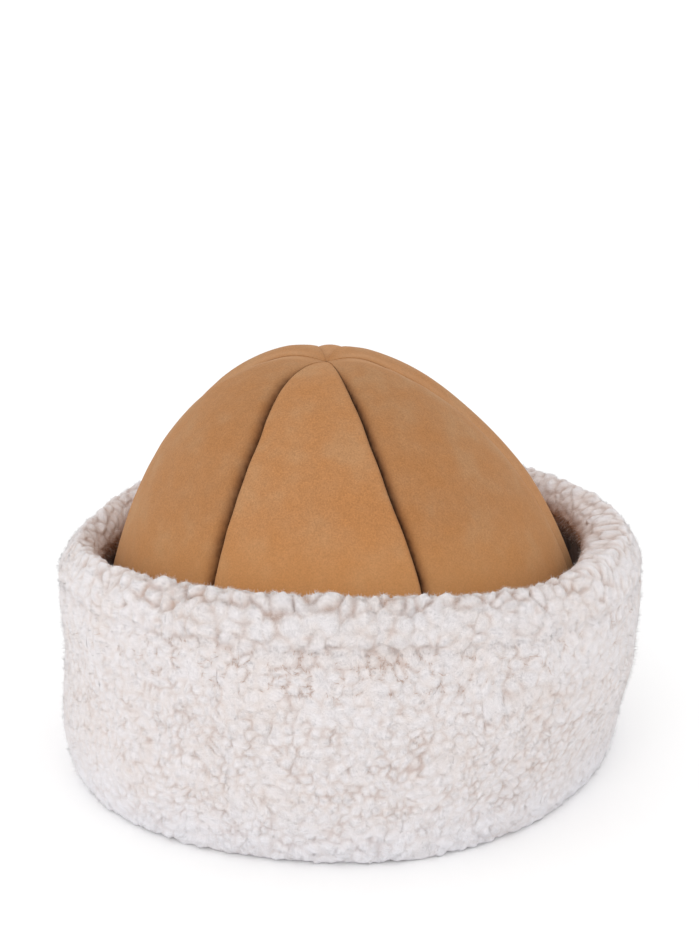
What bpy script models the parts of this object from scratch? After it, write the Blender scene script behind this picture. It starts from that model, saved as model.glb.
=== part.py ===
"""Sheepskin beanie: a crown of six suede gores inside a deep turned-up fleece cuff.

Metres, +Z up. The origin is on the surface that the hat rests on, under the middle of the cuff.
Azimuths are in degrees from the front (-Y), growing towards +X.
"""

import math
import random

import bmesh
import bpy
from mathutils import Vector

# Crown: the suede at the middle of a gore, and the skin with its wool inside
CROWN_RADIUS = 0.0970
CROWN_TOP = 0.1650
CROWN_FOOT = 0.0088
WALL_TOP = 0.0445
DOME_RISE_POWER = 1.68
DOME_ROUND_POWER = 1.98
CROWN_LEAN = -0.0095
LEAN_STARTS = 0.0250
LEAN_POWER = 1.2
SHEEPSKIN = 0.0070
NORMAL_STEP = 0.0005

# Gores: how they divide the crown, and how they swell between their seams
FRONT_GORE_MIDDLE = -6.5
END_GORE_ANGLE = 54.0
SIDE_GORE_ANGLE = (180.0 - END_GORE_ANGLE) / 2
GORES = (
    ("front", END_GORE_ANGLE),
    ("front_right", SIDE_GORE_ANGLE),
    ("back_right", SIDE_GORE_ANGLE),
    ("back", END_GORE_ANGLE),
    ("back_left", SIDE_GORE_ANGLE),
    ("front_left", SIDE_GORE_ANGLE),
)
SEAM_GAP = 0.0003
SEAM_DEPTH = 0.0052
SWELL_REACH = 0.0140
FULL_SWELL_WIDTH = 0.0220
SWELL_POWER = 2.2
TIP_RADIUS = 0.0008
TIP_FORWARD = 0.0100
TIP_SHIFT_REACH = 0.0700
GORE_STRIPS = 8
GORE_BANDS = 14

# Cuff: one ring of fleece, with a lock on every second step of its grid. A lock's size and
# place vary by a share of its depth and of the grid's pitch
CUFF_TOP = 0.0950
LOCKS_AROUND = 78
ROW_PITCH = 0.0065
LOCK_SEED = 7
LOCK_VARIATION = 0.5
LOCK_SWAY = 0.3
VALLEY_SHARE = 0.5

# The cuff's section, from its lip round its outer side and crest to the lip again. Locks are
# staggered from row to row on the walls (1), and run on as upright strips over the crest (0)
CUFF_SECTION = (
    # name, radius, height, lock_depth, staggered, rows_to_next
    ("lip_edge", 0.0898, 0.0045, 0.0000, 1, 1),
    ("base_inner", 0.0945, 0.0000, 0.0000, 1, 1),
    ("base_outer", 0.1088, 0.0000, 0.0000, 1, 1),
    ("heel", 0.1134, 0.0048, 0.0008, 1, 2),
    ("low_swell", 0.1155, 0.0190, 0.0013, 1, 4),
    ("waist", 0.1138, 0.0470, 0.0013, 1, 4),
    ("high_swell", 0.1148, 0.0710, 0.0016, 1, 1),
    ("parting", 0.1136, 0.0775, 0.0008, 0, 1),
    ("crest_outer", 0.1146, 0.0840, 0.0018, 0, 2),
    ("crest_top", 0.1078, CUFF_TOP, 0.0024, 0, 2),
    ("crest_inner", 0.1006, 0.0870, 0.0018, 0, 1),
    ("inner_shoulder", 0.0998, 0.0760, 0.0008, 1, 2),
    ("inner_wall", 0.0993, 0.0500, 0.0004, 1, 1),
    ("inner_foot", 0.0980, 0.0200, 0.0000, 1, 1),
    ("lip_corner", 0.0976, 0.0085, 0.0000, 1, 1),
    ("lip_top", 0.0898, 0.0085, 0.0000, 1, 1),
)

# Where the soft base is pressed in, fading out up the wall
BASE_TUCKS = (
    # azimuth, half_width, inwards
    (54.0, 62.0, 0.0085),
    (0.0, 60.0, 0.0012),
)
TUCK_FULL_BELOW = 0.012
TUCK_GONE_ABOVE = 0.082

# Where the free rim of the cuff stands higher or hangs lower than its even height
RIM_LIFTS = (
    # azimuth, half_width, upwards
    (150.0, 55.0, 0.0022),
    (-112.0, 68.0, -0.0060),
)
RIM_LIFT_STARTS = 0.045

SUEDE_TAN = (0.515, 0.250, 0.107)
WOOL_CREAM = (0.745, 0.680, 0.665)
SUEDE_ROUGHNESS = 0.90
WOOL_ROUGHNESS = 0.95
SUEDE_SMOOTH_BELOW = math.radians(50.0)
WOOL_SMOOTH_BELOW = math.radians(80.0)


def clear_scene():
    """Leaves an empty scene."""
    for obj in list(bpy.data.objects):
        bpy.data.objects.remove(obj, do_unlink=True)


def material(name, colour, roughness):
    """A Principled material of one colour."""
    made = bpy.data.materials.new(name)
    made.use_nodes = True
    shader = made.node_tree.nodes["Principled BSDF"]
    shader.inputs["Base Color"].default_value = (*colour, 1.0)
    shader.inputs["Roughness"].default_value = roughness
    shader.inputs["Metallic"].default_value = 0.0
    return made


def finished(name, mesh, skin, smooth_below):
    """Turns the mesh into a named object with its faces outwards and its material on it."""
    bmesh.ops.recalc_face_normals(mesh, faces=mesh.faces)
    data = bpy.data.meshes.new(name)
    mesh.to_mesh(data)
    mesh.free()
    data.materials.append(skin)
    data.shade_smooth()
    data.set_sharp_from_angle(angle=smooth_below)
    made = bpy.data.objects.new(name, data)
    bpy.context.scene.collection.objects.link(made)
    return made


def smooth_step(low, high, value):
    """0 below low, 1 above high, and an S curve between them."""
    share = min(1.0, max(0.0, (value - low) / (high - low)))
    return share * share * (3.0 - 2.0 * share)


def nearness(azimuth, middle, half_width):
    """1 at the middle azimuth, falling smoothly to 0 at half_width on either side."""
    away = abs((azimuth - middle + 180.0) % 360.0 - 180.0)
    return 0.5 + 0.5 * math.cos(math.pi * min(1.0, away / half_width))


def tuck(azimuth, height):
    """How far the soft base is pressed in at this azimuth and height."""
    fade = 1.0 - smooth_step(TUCK_FULL_BELOW, TUCK_GONE_ABOVE, height)
    return fade * sum(depth * nearness(azimuth, at, wide) for at, wide, depth in BASE_TUCKS)


def rim_lift(azimuth, height):
    """How far the cuff's rim stands above its even height at this azimuth and height."""
    share = smooth_step(RIM_LIFT_STARTS, CUFF_TOP, height)
    return share * sum(lift * nearness(azimuth, at, wide) for at, wide, lift in RIM_LIFTS)


def placed(azimuth, radius, height):
    """The point at an azimuth in degrees, a radius and a height."""
    angle = math.radians(azimuth)
    return Vector((radius * math.sin(angle), -radius * math.cos(angle), height))


def slope(line, i):
    """The outward normal of a line of radii and heights at point i, as a radius and a height."""
    before, after = line[max(0, i - 1)], line[min(len(line) - 1, i + 1)]
    run, rise = after[0] - before[0], after[1] - before[1]
    length = math.hypot(run, rise)
    return rise / length, -run / length


def dome_radius(rise):
    """The dome's radius at a share of its height."""
    return CROWN_RADIUS * (1.0 - rise**DOME_RISE_POWER) ** (1.0 / DOME_ROUND_POWER)


def dome_rise(radius):
    """The share of its height that the dome has reached at a radius."""
    return (1.0 - (radius / CROWN_RADIUS) ** DOME_ROUND_POWER) ** (1.0 / DOME_RISE_POWER)


def crown_bands(count):
    """The crown's radius and height at each band, from its foot to its tip."""
    quarter = math.pi / 2
    wall = WALL_TOP - CROWN_FOOT
    wall_share = wall / (wall + quarter * CROWN_RADIUS)
    bands = []
    for i in range(count + 1):
        along = i / count
        if along <= wall_share:
            bands.append((CROWN_RADIUS, CROWN_FOOT + wall * along / wall_share))
            continue
        turned = math.sin(quarter * (along - wall_share) / (1.0 - wall_share))
        rise = dome_rise(TIP_RADIUS) * turned
        bands.append((dome_radius(rise), WALL_TOP + (CROWN_TOP - WALL_TOP) * rise))
    return bands


def on_dome(azimuth, radius, height):
    """A point of the crown's even outline and its outward normal, with the seams' meeting
    point moved forwards over the dome."""
    if radius >= CROWN_RADIUS:
        return placed(azimuth, radius, height), placed(azimuth, 1.0, 0.0)
    shift = (1.0 - min(1.0, radius / TIP_SHIFT_REACH) ** 2) ** 2
    plan = placed(azimuth, radius, 0.0) + Vector((0.0, -TIP_FORWARD * shift, 0.0))
    away = plan.length
    dome = CROWN_TOP - WALL_TOP
    near, far = max(0.0, away - NORMAL_STEP), min(CROWN_RADIUS, away + NORMAL_STEP)
    run, fall = far - near, dome * (dome_rise(near) - dome_rise(far))
    normal = plan.normalized() * (fall / math.hypot(run, fall))
    normal.z = run / math.hypot(run, fall)
    plan.z = WALL_TOP + dome * dome_rise(away)
    return plan, normal


def swell(from_seam, gore_width):
    """How far the suede swells between its seams: 0 on a seam, 1 where it is fully out."""
    reach = min(SWELL_REACH, gore_width / 2)
    rounding = (1.0 - (1.0 - min(1.0, from_seam / reach)) ** SWELL_POWER) ** 0.5
    narrow = 1.0 - min(1.0, gore_width / FULL_SWELL_WIDTH)
    return rounding * (1.0 - narrow * narrow)


def gore(name, start, angle, skin):
    """One gore: its suede side swells between its seams, and its wool side is even."""
    bands = crown_bands(GORE_BANDS)
    mesh = bmesh.new()
    bmesh.ops.create_grid(mesh, x_segments=GORE_STRIPS, y_segments=GORE_BANDS, size=0.5)
    suede_side = set(mesh.verts)
    bmesh.ops.extrude_face_region(mesh, geom=list(mesh.faces), use_keep_orig=True)
    for vert in mesh.verts:
        radius, height = bands[round((vert.co.y + 0.5) * GORE_BANDS)]
        across = 0.5 + 0.5 * math.sin(math.pi * vert.co.x)
        margin = math.degrees(math.asin(0.5 * SEAM_GAP / radius))
        azimuth = start + margin + (angle - 2.0 * margin) * across
        width = math.radians(angle) * radius
        depth = SHEEPSKIN
        if vert in suede_side:
            depth = SEAM_DEPTH * (1.0 - swell(min(across, 1.0 - across) * width, width))
        point, normal = on_dome(azimuth, radius, height)
        vert.co = point - normal * depth
        around = math.degrees(math.atan2(vert.co.x, -vert.co.y))
        vert.co -= placed(around, tuck(around, vert.co.z), 0.0)
        rise = max(0.0, (vert.co.z - LEAN_STARTS) / (CROWN_TOP - LEAN_STARTS))
        vert.co.x += CROWN_LEAN * rise**LEAN_POWER
    return finished(name, mesh, skin, SUEDE_SMOOTH_BELOW)


def between(points, i, share):
    """The point a share of the way from point i to the next, on a smooth curve through them."""
    around = [Vector(points[min(max(i + k, 0), len(points) - 1)]) for k in (-1, 0, 1, 2)]
    before, here, there, after = around
    leave, arrive = (there - before) / 2, (after - here) / 2
    bend = share * share * (3.0 - 2.0 * share)
    return (
        here * (1.0 - bend)
        + there * bend
        + leave * (share * (1.0 - share) ** 2)
        - arrive * (share**2 * (1.0 - share))
    )


def cuff_rows():
    """The rows of the cuff's grid: radius, height, lock depth and whether locks are staggered."""
    points = [(radius, height) for _, radius, height, _, _, _ in CUFF_SECTION]
    rows = []
    for i, (_, _, _, depth, staggered, count) in enumerate(CUFF_SECTION):
        next_depth = CUFF_SECTION[(i + 1) % len(CUFF_SECTION)][3]
        for k in range(count):
            share = k / count
            radius, height = between(points, i, share) if k else points[i]
            rows.append((radius, height, depth + (next_depth - depth) * share, staggered))
    return rows


def split_along_valleys(mesh, stand):
    """Splits each four-sided face between its two lower corners, so that each lock stands free."""
    for face in list(mesh.faces):
        corners = list(face.verts)
        first = stand[corners[0]] + stand[corners[2]]
        second = stand[corners[1]] + stand[corners[3]]
        pair = (corners[0], corners[2]) if first <= second else (corners[1], corners[3])
        bmesh.utils.face_split(face, *pair)


def raise_locks(mesh, rows, row_of):
    """Moves each corner of the ring's grid out onto a lock or in beside one, and returns how far
    each stands out."""
    steps = 2 * LOCKS_AROUND
    line = [(radius, height) for radius, height, _, _ in rows]
    rng = random.Random(LOCK_SEED)
    strip_sway = [rng.uniform(-LOCK_SWAY, LOCK_SWAY) for _ in range(steps)]
    stand = {}
    for vert in mesh.verts:
        row = vert[row_of]
        radius, height, depth, staggered = rows[row]
        turn = math.atan2(vert.co.x, -vert.co.y) / (2.0 * math.pi)
        step = round(turn * steps) % steps
        size = 1.0 + rng.uniform(-LOCK_VARIATION, LOCK_VARIATION)
        sway = rng.uniform(-LOCK_SWAY, LOCK_SWAY) if staggered else strip_sway[step]
        slide = rng.uniform(-LOCK_SWAY, LOCK_SWAY) * ROW_PITCH
        if depth == 0.0:
            sway = slide = 0.0
        on_lock = (step + row * staggered) % 2 == 0
        stand[vert] = depth * size * (1.0 if on_lock else -VALLEY_SHARE)
        out, up = slope(line, row)
        azimuth = 360.0 * (step + sway) / steps
        radius += stand[vert] * out - slide * up - tuck(azimuth, height)
        height += stand[vert] * up + slide * out + rim_lift(azimuth, height)
        vert.co = placed(azimuth, radius, height)
    return stand


def cuff(name, wool):
    """The turned-up cuff: a fleece ring with its locks fused to it. Its lowest fold reaches in
    under the crown, as the edge that the gores are sewn down to."""
    rows = cuff_rows()
    mesh = bmesh.new()
    row_of = mesh.verts.layers.int.new("row")
    section = [mesh.verts.new((0.0, -radius, height)) for radius, height, _, _ in rows]
    for row, vert in enumerate(section):
        vert[row_of] = row
    ring = [mesh.edges.new((vert, section[i - 1])) for i, vert in enumerate(section)]
    bmesh.ops.spin(
        mesh,
        geom=section + ring,
        cent=(0.0, 0.0, 0.0),
        axis=(0.0, 0.0, 1.0),
        angle=2.0 * math.pi,
        steps=2 * LOCKS_AROUND,
        use_merge=True,
    )
    split_along_valleys(mesh, raise_locks(mesh, rows, row_of))
    return finished(name, mesh, wool, WOOL_SMOOTH_BELOW)


def main():
    """Builds the six gores and the cuff."""
    clear_scene()
    suede = material("tan_suede", SUEDE_TAN, SUEDE_ROUGHNESS)
    wool = material("cream_fleece", WOOL_CREAM, WOOL_ROUGHNESS)
    start = FRONT_GORE_MIDDLE - END_GORE_ANGLE / 2
    for side, angle in GORES:
        gore("crown_gore_" + side, start, angle, suede)
        start += angle
    cuff("fleece_cuff", wool)


main()
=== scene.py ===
"""Sheepskin beanie: a crown of six suede gores inside a deep turned-up fleece cuff.

Metres, +Z up. Azimuths are in degrees from the front (-Y), growing towards +X. On the unrolled
fleece, lengths around the hat and along the cuff's section are in millimetres.
"""

import logging
import math
from dataclasses import dataclass, field, replace
from enum import Enum

import bmesh
import bpy
import numpy as np
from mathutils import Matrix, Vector


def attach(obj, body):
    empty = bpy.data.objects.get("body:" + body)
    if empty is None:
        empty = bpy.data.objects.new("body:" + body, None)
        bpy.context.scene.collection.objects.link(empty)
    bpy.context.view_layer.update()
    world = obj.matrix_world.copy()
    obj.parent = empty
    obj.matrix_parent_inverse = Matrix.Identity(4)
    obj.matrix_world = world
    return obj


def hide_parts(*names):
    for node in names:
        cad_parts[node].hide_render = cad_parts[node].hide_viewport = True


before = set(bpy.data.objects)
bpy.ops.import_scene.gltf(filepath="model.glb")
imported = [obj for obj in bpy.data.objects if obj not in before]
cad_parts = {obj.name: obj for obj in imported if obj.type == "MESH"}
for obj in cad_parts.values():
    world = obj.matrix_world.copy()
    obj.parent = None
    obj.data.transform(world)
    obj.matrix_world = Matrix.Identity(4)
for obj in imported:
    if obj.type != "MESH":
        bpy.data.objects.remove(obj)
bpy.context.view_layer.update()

log = logging.getLogger("sheepskin_beanie")

Array = np.ndarray
Layer = tuple[float, float, int]

MM = 0.001
TINY = 1e-9
# The nearest tufts are sought up to two rows and two columns away.
NEIGHBOURS = range(-2, 3)
# Nearly all of a noise texture's values lie between these.
NOISE_RANGE = (0.3, 0.7)
RANGE_INPUTS = ("Value", "From Min", "From Max", "To Min", "To Max")


def linear(hex_colour: str) -> tuple[float, float, float, float]:
    """Turns an sRGB colour into the linear one that a shader takes.

    Args:
        hex_colour: The colour as six hex digits.

    Returns:
        Red, green, blue and an alpha of 1.
    """
    shares = [int(hex_colour[i : i + 2], 16) / 255.0 for i in (0, 2, 4)]
    red, green, blue = (
        share / 12.92 if share <= 0.04045 else ((share + 0.055) / 1.055) ** 2.4 for share in shares
    )
    return red, green, blue, 1.0


def smooth_step(low: float, high: float, value: Array) -> Array:
    """Gives each value's share, which rises on an S curve from 0 at low to 1 at high."""
    share = np.clip((value - low) / (high - low), 0.0, 1.0)
    return share * share * (3.0 - 2.0 * share)


def short_way(gap: Array, whole: float) -> Array:
    """Measures gaps on a closed line the shorter way round, from minus to plus half of it."""
    return (gap + whole / 2) % whole - whole / 2


def nearness(azimuth: Array, middle: float, half_width: float) -> Array:
    """Gives each azimuth's share, which falls from 1 at the middle to 0 at a half width from it."""
    away = np.abs(short_way(azimuth - middle, 360.0))
    return 0.5 + 0.5 * np.cos(np.pi * np.minimum(1.0, away / half_width))


def placed(azimuth: Array, radius: Array, height: Array) -> Array:
    """Turns azimuths, radii and heights into points.

    Args:
        azimuth: Degrees from the front.
        radius: Metres from the hat's axis.
        height: Metres above the surface it rests on.

    Returns:
        One row of x, y and z for each place.
    """
    angle = np.radians(azimuth)
    return np.stack(
        np.broadcast_arrays(radius * np.sin(angle), -radius * np.cos(angle), height), axis=-1
    )


def azimuth_of(points: Array) -> Array:
    """Gives each point's azimuth, in degrees from the front."""
    return np.degrees(np.arctan2(points[:, 0], -points[:, 1]))


@dataclass(frozen=True)
class UnrolledNoise:
    """Smooth noise from -1 to 1 over an unrolled surface, which meets itself after one turn.

    Attributes:
        turn: Length of one turn.
        cell: Size of its lumps, in the same unit.
        seed: Which noise it is.
        rows: How many lumps it has along the surface before they come again.
    """

    turn: float
    cell: float
    seed: int
    rows: int = 128

    def __call__(self, around: Array, along: Array) -> Array:
        """Reads the noise.

        Args:
            around: Places around the hat.
            along: Places up the surface.

        Returns:
            The noise at each place.
        """
        columns = max(3, round(self.turn / self.cell))
        table = np.random.default_rng(self.seed).uniform(-1.0, 1.0, (self.rows, columns))
        column, row = around / self.turn * columns, along / self.cell
        left, below = np.floor(column).astype(int), np.floor(row).astype(int)
        right_share, upper_share = (
            part**3 * (part * (part * 6.0 - 15.0) + 10.0) for part in (column - left, row - below)
        )
        corners = [
            table[(below + up) % self.rows, (left + over) % columns]
            for up in (0, 1)
            for over in (0, 1)
        ]
        lower = corners[0] + (corners[1] - corners[0]) * right_share
        upper = corners[2] + (corners[3] - corners[2]) * right_share
        return lower + (upper - lower) * upper_share


@dataclass(frozen=True)
class SoftBase:
    """Where the soft base of the hat is pressed in, fading out up its wall.

    Attributes:
        presses: Azimuth, half width and depth of each press.
        full_below: The presses are at full depth below this height.
        gone_above: They are gone above this one.
    """

    presses: tuple[tuple[float, float, float], ...] = ((58.0, 62.0, 0.0108), (-4.0, 58.0, 0.0040))
    full_below: float = 0.012
    gone_above: float = 0.050

    def pressed(self, points: Array) -> Array:
        """Presses points in towards the axis.

        Args:
            points: Points of the even shape.

        Returns:
            The same points, pressed in.
        """
        azimuth = azimuth_of(points)
        fade = 1.0 - smooth_step(self.full_below, self.gone_above, points[:, 2])
        depth = sum(inwards * nearness(azimuth, at, wide) for at, wide, inwards in self.presses)
        return points - placed(azimuth, fade * depth, 0.0)


@dataclass(frozen=True)
class CrownShape:
    """The crown's even outline: a short wall and a dome that leans a little to the left.

    Attributes:
        radius: Radius of its wall.
        top: Height of the dome's top.
        foot: Height of its foot.
        wall_top: Height at which the dome starts.
        rise_power: How upright the dome starts.
        round_power: How flat it ends.
        lean: How far its top leans to the right.
        lean_starts: Height at which it starts to lean.
        lean_power: How much of the lean is near the top.
        tip_radius: Radius at which the gores end.
        tip_forward: How far the seams' meeting point lies in front of the middle.
        tip_shift_reach: How far from the tip its shift is felt.
        normal_step: Step with which the dome's slope is measured.
        sag: Azimuth, half width and depth of the soft sag in its right shoulder.
        sag_starts: Height at which the sag starts.
        sag_full: Height from which it is at full depth.
        sag_clear: It fades out within this distance of the axis.
        sag_sinks: How far it goes down, as a share of how far it goes in.
        base: Where the base is pressed in.
    """

    radius: float = 0.0970
    top: float = 0.1650
    foot: float = 0.0088
    wall_top: float = 0.0445
    rise_power: float = 1.68
    round_power: float = 1.98
    lean: float = -0.0095
    lean_starts: float = 0.0250
    lean_power: float = 1.2
    tip_radius: float = 0.0003
    tip_forward: float = 0.0100
    tip_shift_reach: float = 0.0700
    normal_step: float = 0.0005
    sag: tuple[float, float, float] = (108.0, 85.0, 0.0019)
    sag_starts: float = 0.1050
    sag_full: float = 0.1450
    sag_clear: float = 0.0300
    sag_sinks: float = 0.6
    base: SoftBase = field(default_factory=SoftBase)

    def radius_at(self, rise: Array) -> Array:
        """The dome's radius at a share of its height."""
        return self.radius * (1.0 - rise**self.rise_power) ** (1.0 / self.round_power)

    def rise_at(self, radius: Array) -> Array:
        """The share of its height that the dome has reached at a radius."""
        inside = np.maximum(0.0, 1.0 - (radius / self.radius) ** self.round_power)
        return inside ** (1.0 / self.rise_power)

    def bands(self, count: int) -> tuple[Array, Array, Array]:
        """Divides the crown into bands from its foot to its tip.

        Args:
            count: How many bands.

        Returns:
            The radius and the height of each band's edge, and its length up the crown.
        """
        along, quarter = np.linspace(0.0, 1.0, count + 1), math.pi / 2
        wall = self.wall_top - self.foot
        wall_share = wall / (wall + quarter * self.radius)
        turned = np.sin(quarter * np.clip((along - wall_share) / (1.0 - wall_share), 0.0, 1.0))
        rise = self.rise_at(np.array(self.tip_radius)) * turned
        on_wall = along <= wall_share
        radius = np.where(on_wall, self.radius, self.radius_at(rise))
        dome_height = self.wall_top + (self.top - self.wall_top) * rise
        height = np.where(on_wall, self.foot + wall * along / wall_share, dome_height)
        length = np.r_[0.0, np.cumsum(np.hypot(np.diff(radius), np.diff(height)))]
        return radius, height, length

    def surface(self, azimuth: Array, radius: Array, height: Array) -> tuple[Array, Array]:
        """Finds points on the even outline, with the seams' meeting point moved forwards.

        Args:
            azimuth: Degrees from the front.
            radius: Radius of the band, which is the crown's own on its wall.
            height: Height of the band, which counts on the wall alone.

        Returns:
            The points, and the outward normal at each.
        """
        shift = (1.0 - np.minimum(1.0, radius / self.tip_shift_reach) ** 2) ** 2
        plan = placed(azimuth, radius, 0.0)
        plan[:, 1] -= self.tip_forward * shift
        away = np.hypot(plan[:, 0], plan[:, 1])
        near = np.maximum(0.0, away - self.normal_step)
        far = np.minimum(self.radius, away + self.normal_step)
        run, dome = far - near, self.top - self.wall_top
        fall = dome * (self.rise_at(near) - self.rise_at(far))
        length = np.hypot(run, fall)
        outwards = plan[:, :2] / np.maximum(away, TINY)[:, None]
        normal = np.column_stack((outwards * (fall / length)[:, None], run / length))
        plan[:, 2] = self.wall_top + dome * self.rise_at(away)
        on_wall = radius >= self.radius * (1.0 - TINY)
        plan[on_wall] = placed(azimuth, radius, height)[on_wall]
        normal[on_wall] = placed(azimuth, np.ones_like(radius), 0.0)[on_wall]
        return plan, normal

    def settled(self, points: Array) -> Array:
        """Presses the crown's base in with the cuff's and leans its dome.

        Args:
            points: Points of the upright crown.

        Returns:
            The points as the hat stands.
        """
        points = self.base.pressed(points)
        azimuth = azimuth_of(points)
        middle, half_width, depth = self.sag
        sagged = smooth_step(self.sag_starts, self.sag_full, points[:, 2])
        sagged = sagged * smooth_step(0.0, self.sag_clear, np.hypot(points[:, 0], points[:, 1]))
        sagged = sagged * depth * nearness(azimuth, middle, half_width)
        points = points - placed(azimuth, sagged, self.sag_sinks * sagged)
        rise = np.maximum(0.0, (points[:, 2] - self.lean_starts) / (self.top - self.lean_starts))
        points[:, 0] += self.lean * rise**self.lean_power
        return points


@dataclass(frozen=True)
class CuffShape:
    """The cuff's even outline, before its tufts: one closed section, turned round the axis.

    Attributes:
        corners: Name, radius and height along the section, from the outer edge of the base up
            the outer side, over the rim and down the inner side to the base again.
        turn: Length around the fleece in millimetres, at its usual radius.
        rim_lifts: Azimuth, half width and height of each place where the rim isn't level.
        lift_starts: The rim's rises and sags begin at this height.
        lift_full: They are at full height from this one.
        rim_swell: Azimuth, half width and depth of the place where the rim is thicker inwards.
        swell_starts: That swelling begins at this height.
        swell_full: It is at full depth from this one.
        swell_inside: It fades in from the first of these radii to the second.
        steps: How many parts the section's line has between two corners.
        slope_step: Step in millimetres with which the section's slope is measured.
        base: Where the base is pressed in.
    """

    corners: tuple[tuple[str, float, float], ...] = (
        ("base_outer", 0.1088, 0.0000),
        ("heel", 0.1134, 0.0048),
        ("low_swell", 0.1155, 0.0190),
        ("waist", 0.1138, 0.0470),
        ("high_swell", 0.1148, 0.0710),
        ("parting", 0.1139, 0.0775),
        ("rim_outer", 0.1144, 0.0840),
        ("rim_top", 0.1070, 0.0950),
        ("rim_inner", 0.0992, 0.0870),
        ("inner_shoulder", 0.0988, 0.0760),
        ("inner_wall", 0.0993, 0.0500),
        ("inner_foot", 0.0980, 0.0200),
        ("lip_corner", 0.0976, 0.0085),
        ("lip_top", 0.0898, 0.0085),
        ("lip_edge", 0.0898, 0.0045),
        ("base_inner", 0.0945, 0.0000),
    )
    turn: float = 704.0
    rim_lifts: tuple[tuple[float, float, float], ...] = (
        (150.0, 55.0, 0.0022),
        (-102.0, 62.0, -0.0056),
        (-140.0, 44.0, 0.0075),
        (-10.0, 56.0, 0.0030),
        (52.0, 40.0, -0.0012),
    )
    lift_starts: float = 0.045
    lift_full: float = 0.0950
    rim_swell: tuple[float, float, float] = (78.0, 56.0, 0.0070)
    swell_starts: float = 0.062
    swell_full: float = 0.086
    swell_inside: tuple[float, float] = (0.1080, 0.1000)
    steps: int = 40
    slope_step: float = 0.6
    base: SoftBase = field(default_factory=SoftBase)

    def section(self) -> Array:
        """Draws the section as a fine line through its corners.

        Returns:
            One row for each point: its length along the section in millimetres, its radius and
            its height. The last point is the first again.
        """
        points = np.array([(radius, height) for _, radius, height in self.corners])
        share = (np.arange(self.steps) / self.steps)[:, None]
        bend = share * share * (3.0 - 2.0 * share)
        line = []
        for i, here in enumerate(points):
            before, there = points[i - 1], points[(i + 1) % len(points)]
            after = points[(i + 2) % len(points)]
            leave, arrive = (there - before) / 2, (after - here) / 2
            line.append(
                here * (1.0 - bend)
                + there * bend
                + leave * (share * (1.0 - share) ** 2)
                - arrive * (share**2 * (1.0 - share))
            )
        line = np.vstack([*line, points[:1]])
        along = np.cumsum(np.r_[0.0, np.hypot(*np.diff(line, axis=0).T)]) / MM
        return np.column_stack((along, line))

    def lengths(self) -> dict[str, float]:
        """Measures where the corners lie along the section.

        Returns:
            Each corner's length along it in millimetres, and the whole length.
        """
        along = self.section()[:, 0]
        found = {name: along[i * self.steps] for i, (name, _, _) in enumerate(self.corners)}
        return {**found, "whole": along[-1]}

    def on_section(self, along: Array) -> tuple[Array, Array]:
        """Finds places on the section.

        Args:
            along: Lengths along the section, in millimetres.

        Returns:
            Radius and height of each place, and the outward normal as radius and height.
        """
        length, *place = self.section().T
        ahead, behind, here = (
            np.column_stack([np.interp((along + off) % length[-1], length, part) for part in place])
            for off in (self.slope_step, -self.slope_step, 0.0)
        )
        run, rise = (ahead - behind).T / np.hypot(*(ahead - behind).T)
        return here, np.column_stack((rise, -run))

    def settled(self, azimuth: Array, place: Array) -> Array:
        """Turns places on the section into points of the hat as it stands.

        Args:
            azimuth: Degrees from the front.
            place: Radius and height of each place.

        Returns:
            The points, with the base pressed in and the rim lifted or let down.
        """
        radius, height = place.T
        share = smooth_step(self.lift_starts, self.lift_full, height)
        lift = sum(up * nearness(azimuth, at, wide) for at, wide, up in self.rim_lifts)
        at, wide, inwards = self.rim_swell
        swell = inwards * nearness(azimuth, at, wide) * smooth_step(*self.swell_inside, radius)
        swell = swell * smooth_step(self.swell_starts, self.swell_full, height)
        return self.base.pressed(placed(azimuth, radius - swell, height + share * lift))


@dataclass(frozen=True)
class TuftBand:
    """Rows of wool tufts along one stretch of the cuff's section, with sizes in millimetres.

    Attributes:
        start: Where the stretch starts along the section.
        end: Where it ends.
        wide: A tuft's width around the hat.
        tall: Its length along the section.
        relief: How far it stands out above the crevices round it.
        lean: How far its tip leans forwards along the section.
        upright: 1 where its strands run along the section, 0 where they lie any way.
        parted: How far the crevices between its tufts open, from 0 to 1.
    """

    start: float
    end: float
    wide: float
    tall: float
    relief: float
    lean: float
    upright: float
    parted: float

    def grid(self, turn: float) -> tuple[int, int, float, float]:
        """Divides the stretch evenly into tufts.

        Args:
            turn: Length of one turn.

        Returns:
            Its rows and columns of tufts, and a tuft's length and width in them.
        """
        rows = max(1, round((self.end - self.start) / self.tall))
        columns = round(turn / self.wide)
        return rows, columns, (self.end - self.start) / rows, turn / columns


@dataclass(frozen=True)
class TuftTrace:
    """What the tufts do to each point of the unrolled fleece.

    Attributes:
        stand: How far the point stands out, in millimetres.
        lean_around: How far it leans around the hat.
        lean_along: How far it leans along the section.
        pile: 0 at the bottom of a crevice, 1 on a tuft.
        strand: Its place across and along its tuft's strands, and the tuft's own number.
        lie: Which way its strands lie, around the hat and along the section.
    """

    stand: Array
    lean_around: Array
    lean_along: Array
    pile: Array
    strand: Array
    lie: Array


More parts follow.
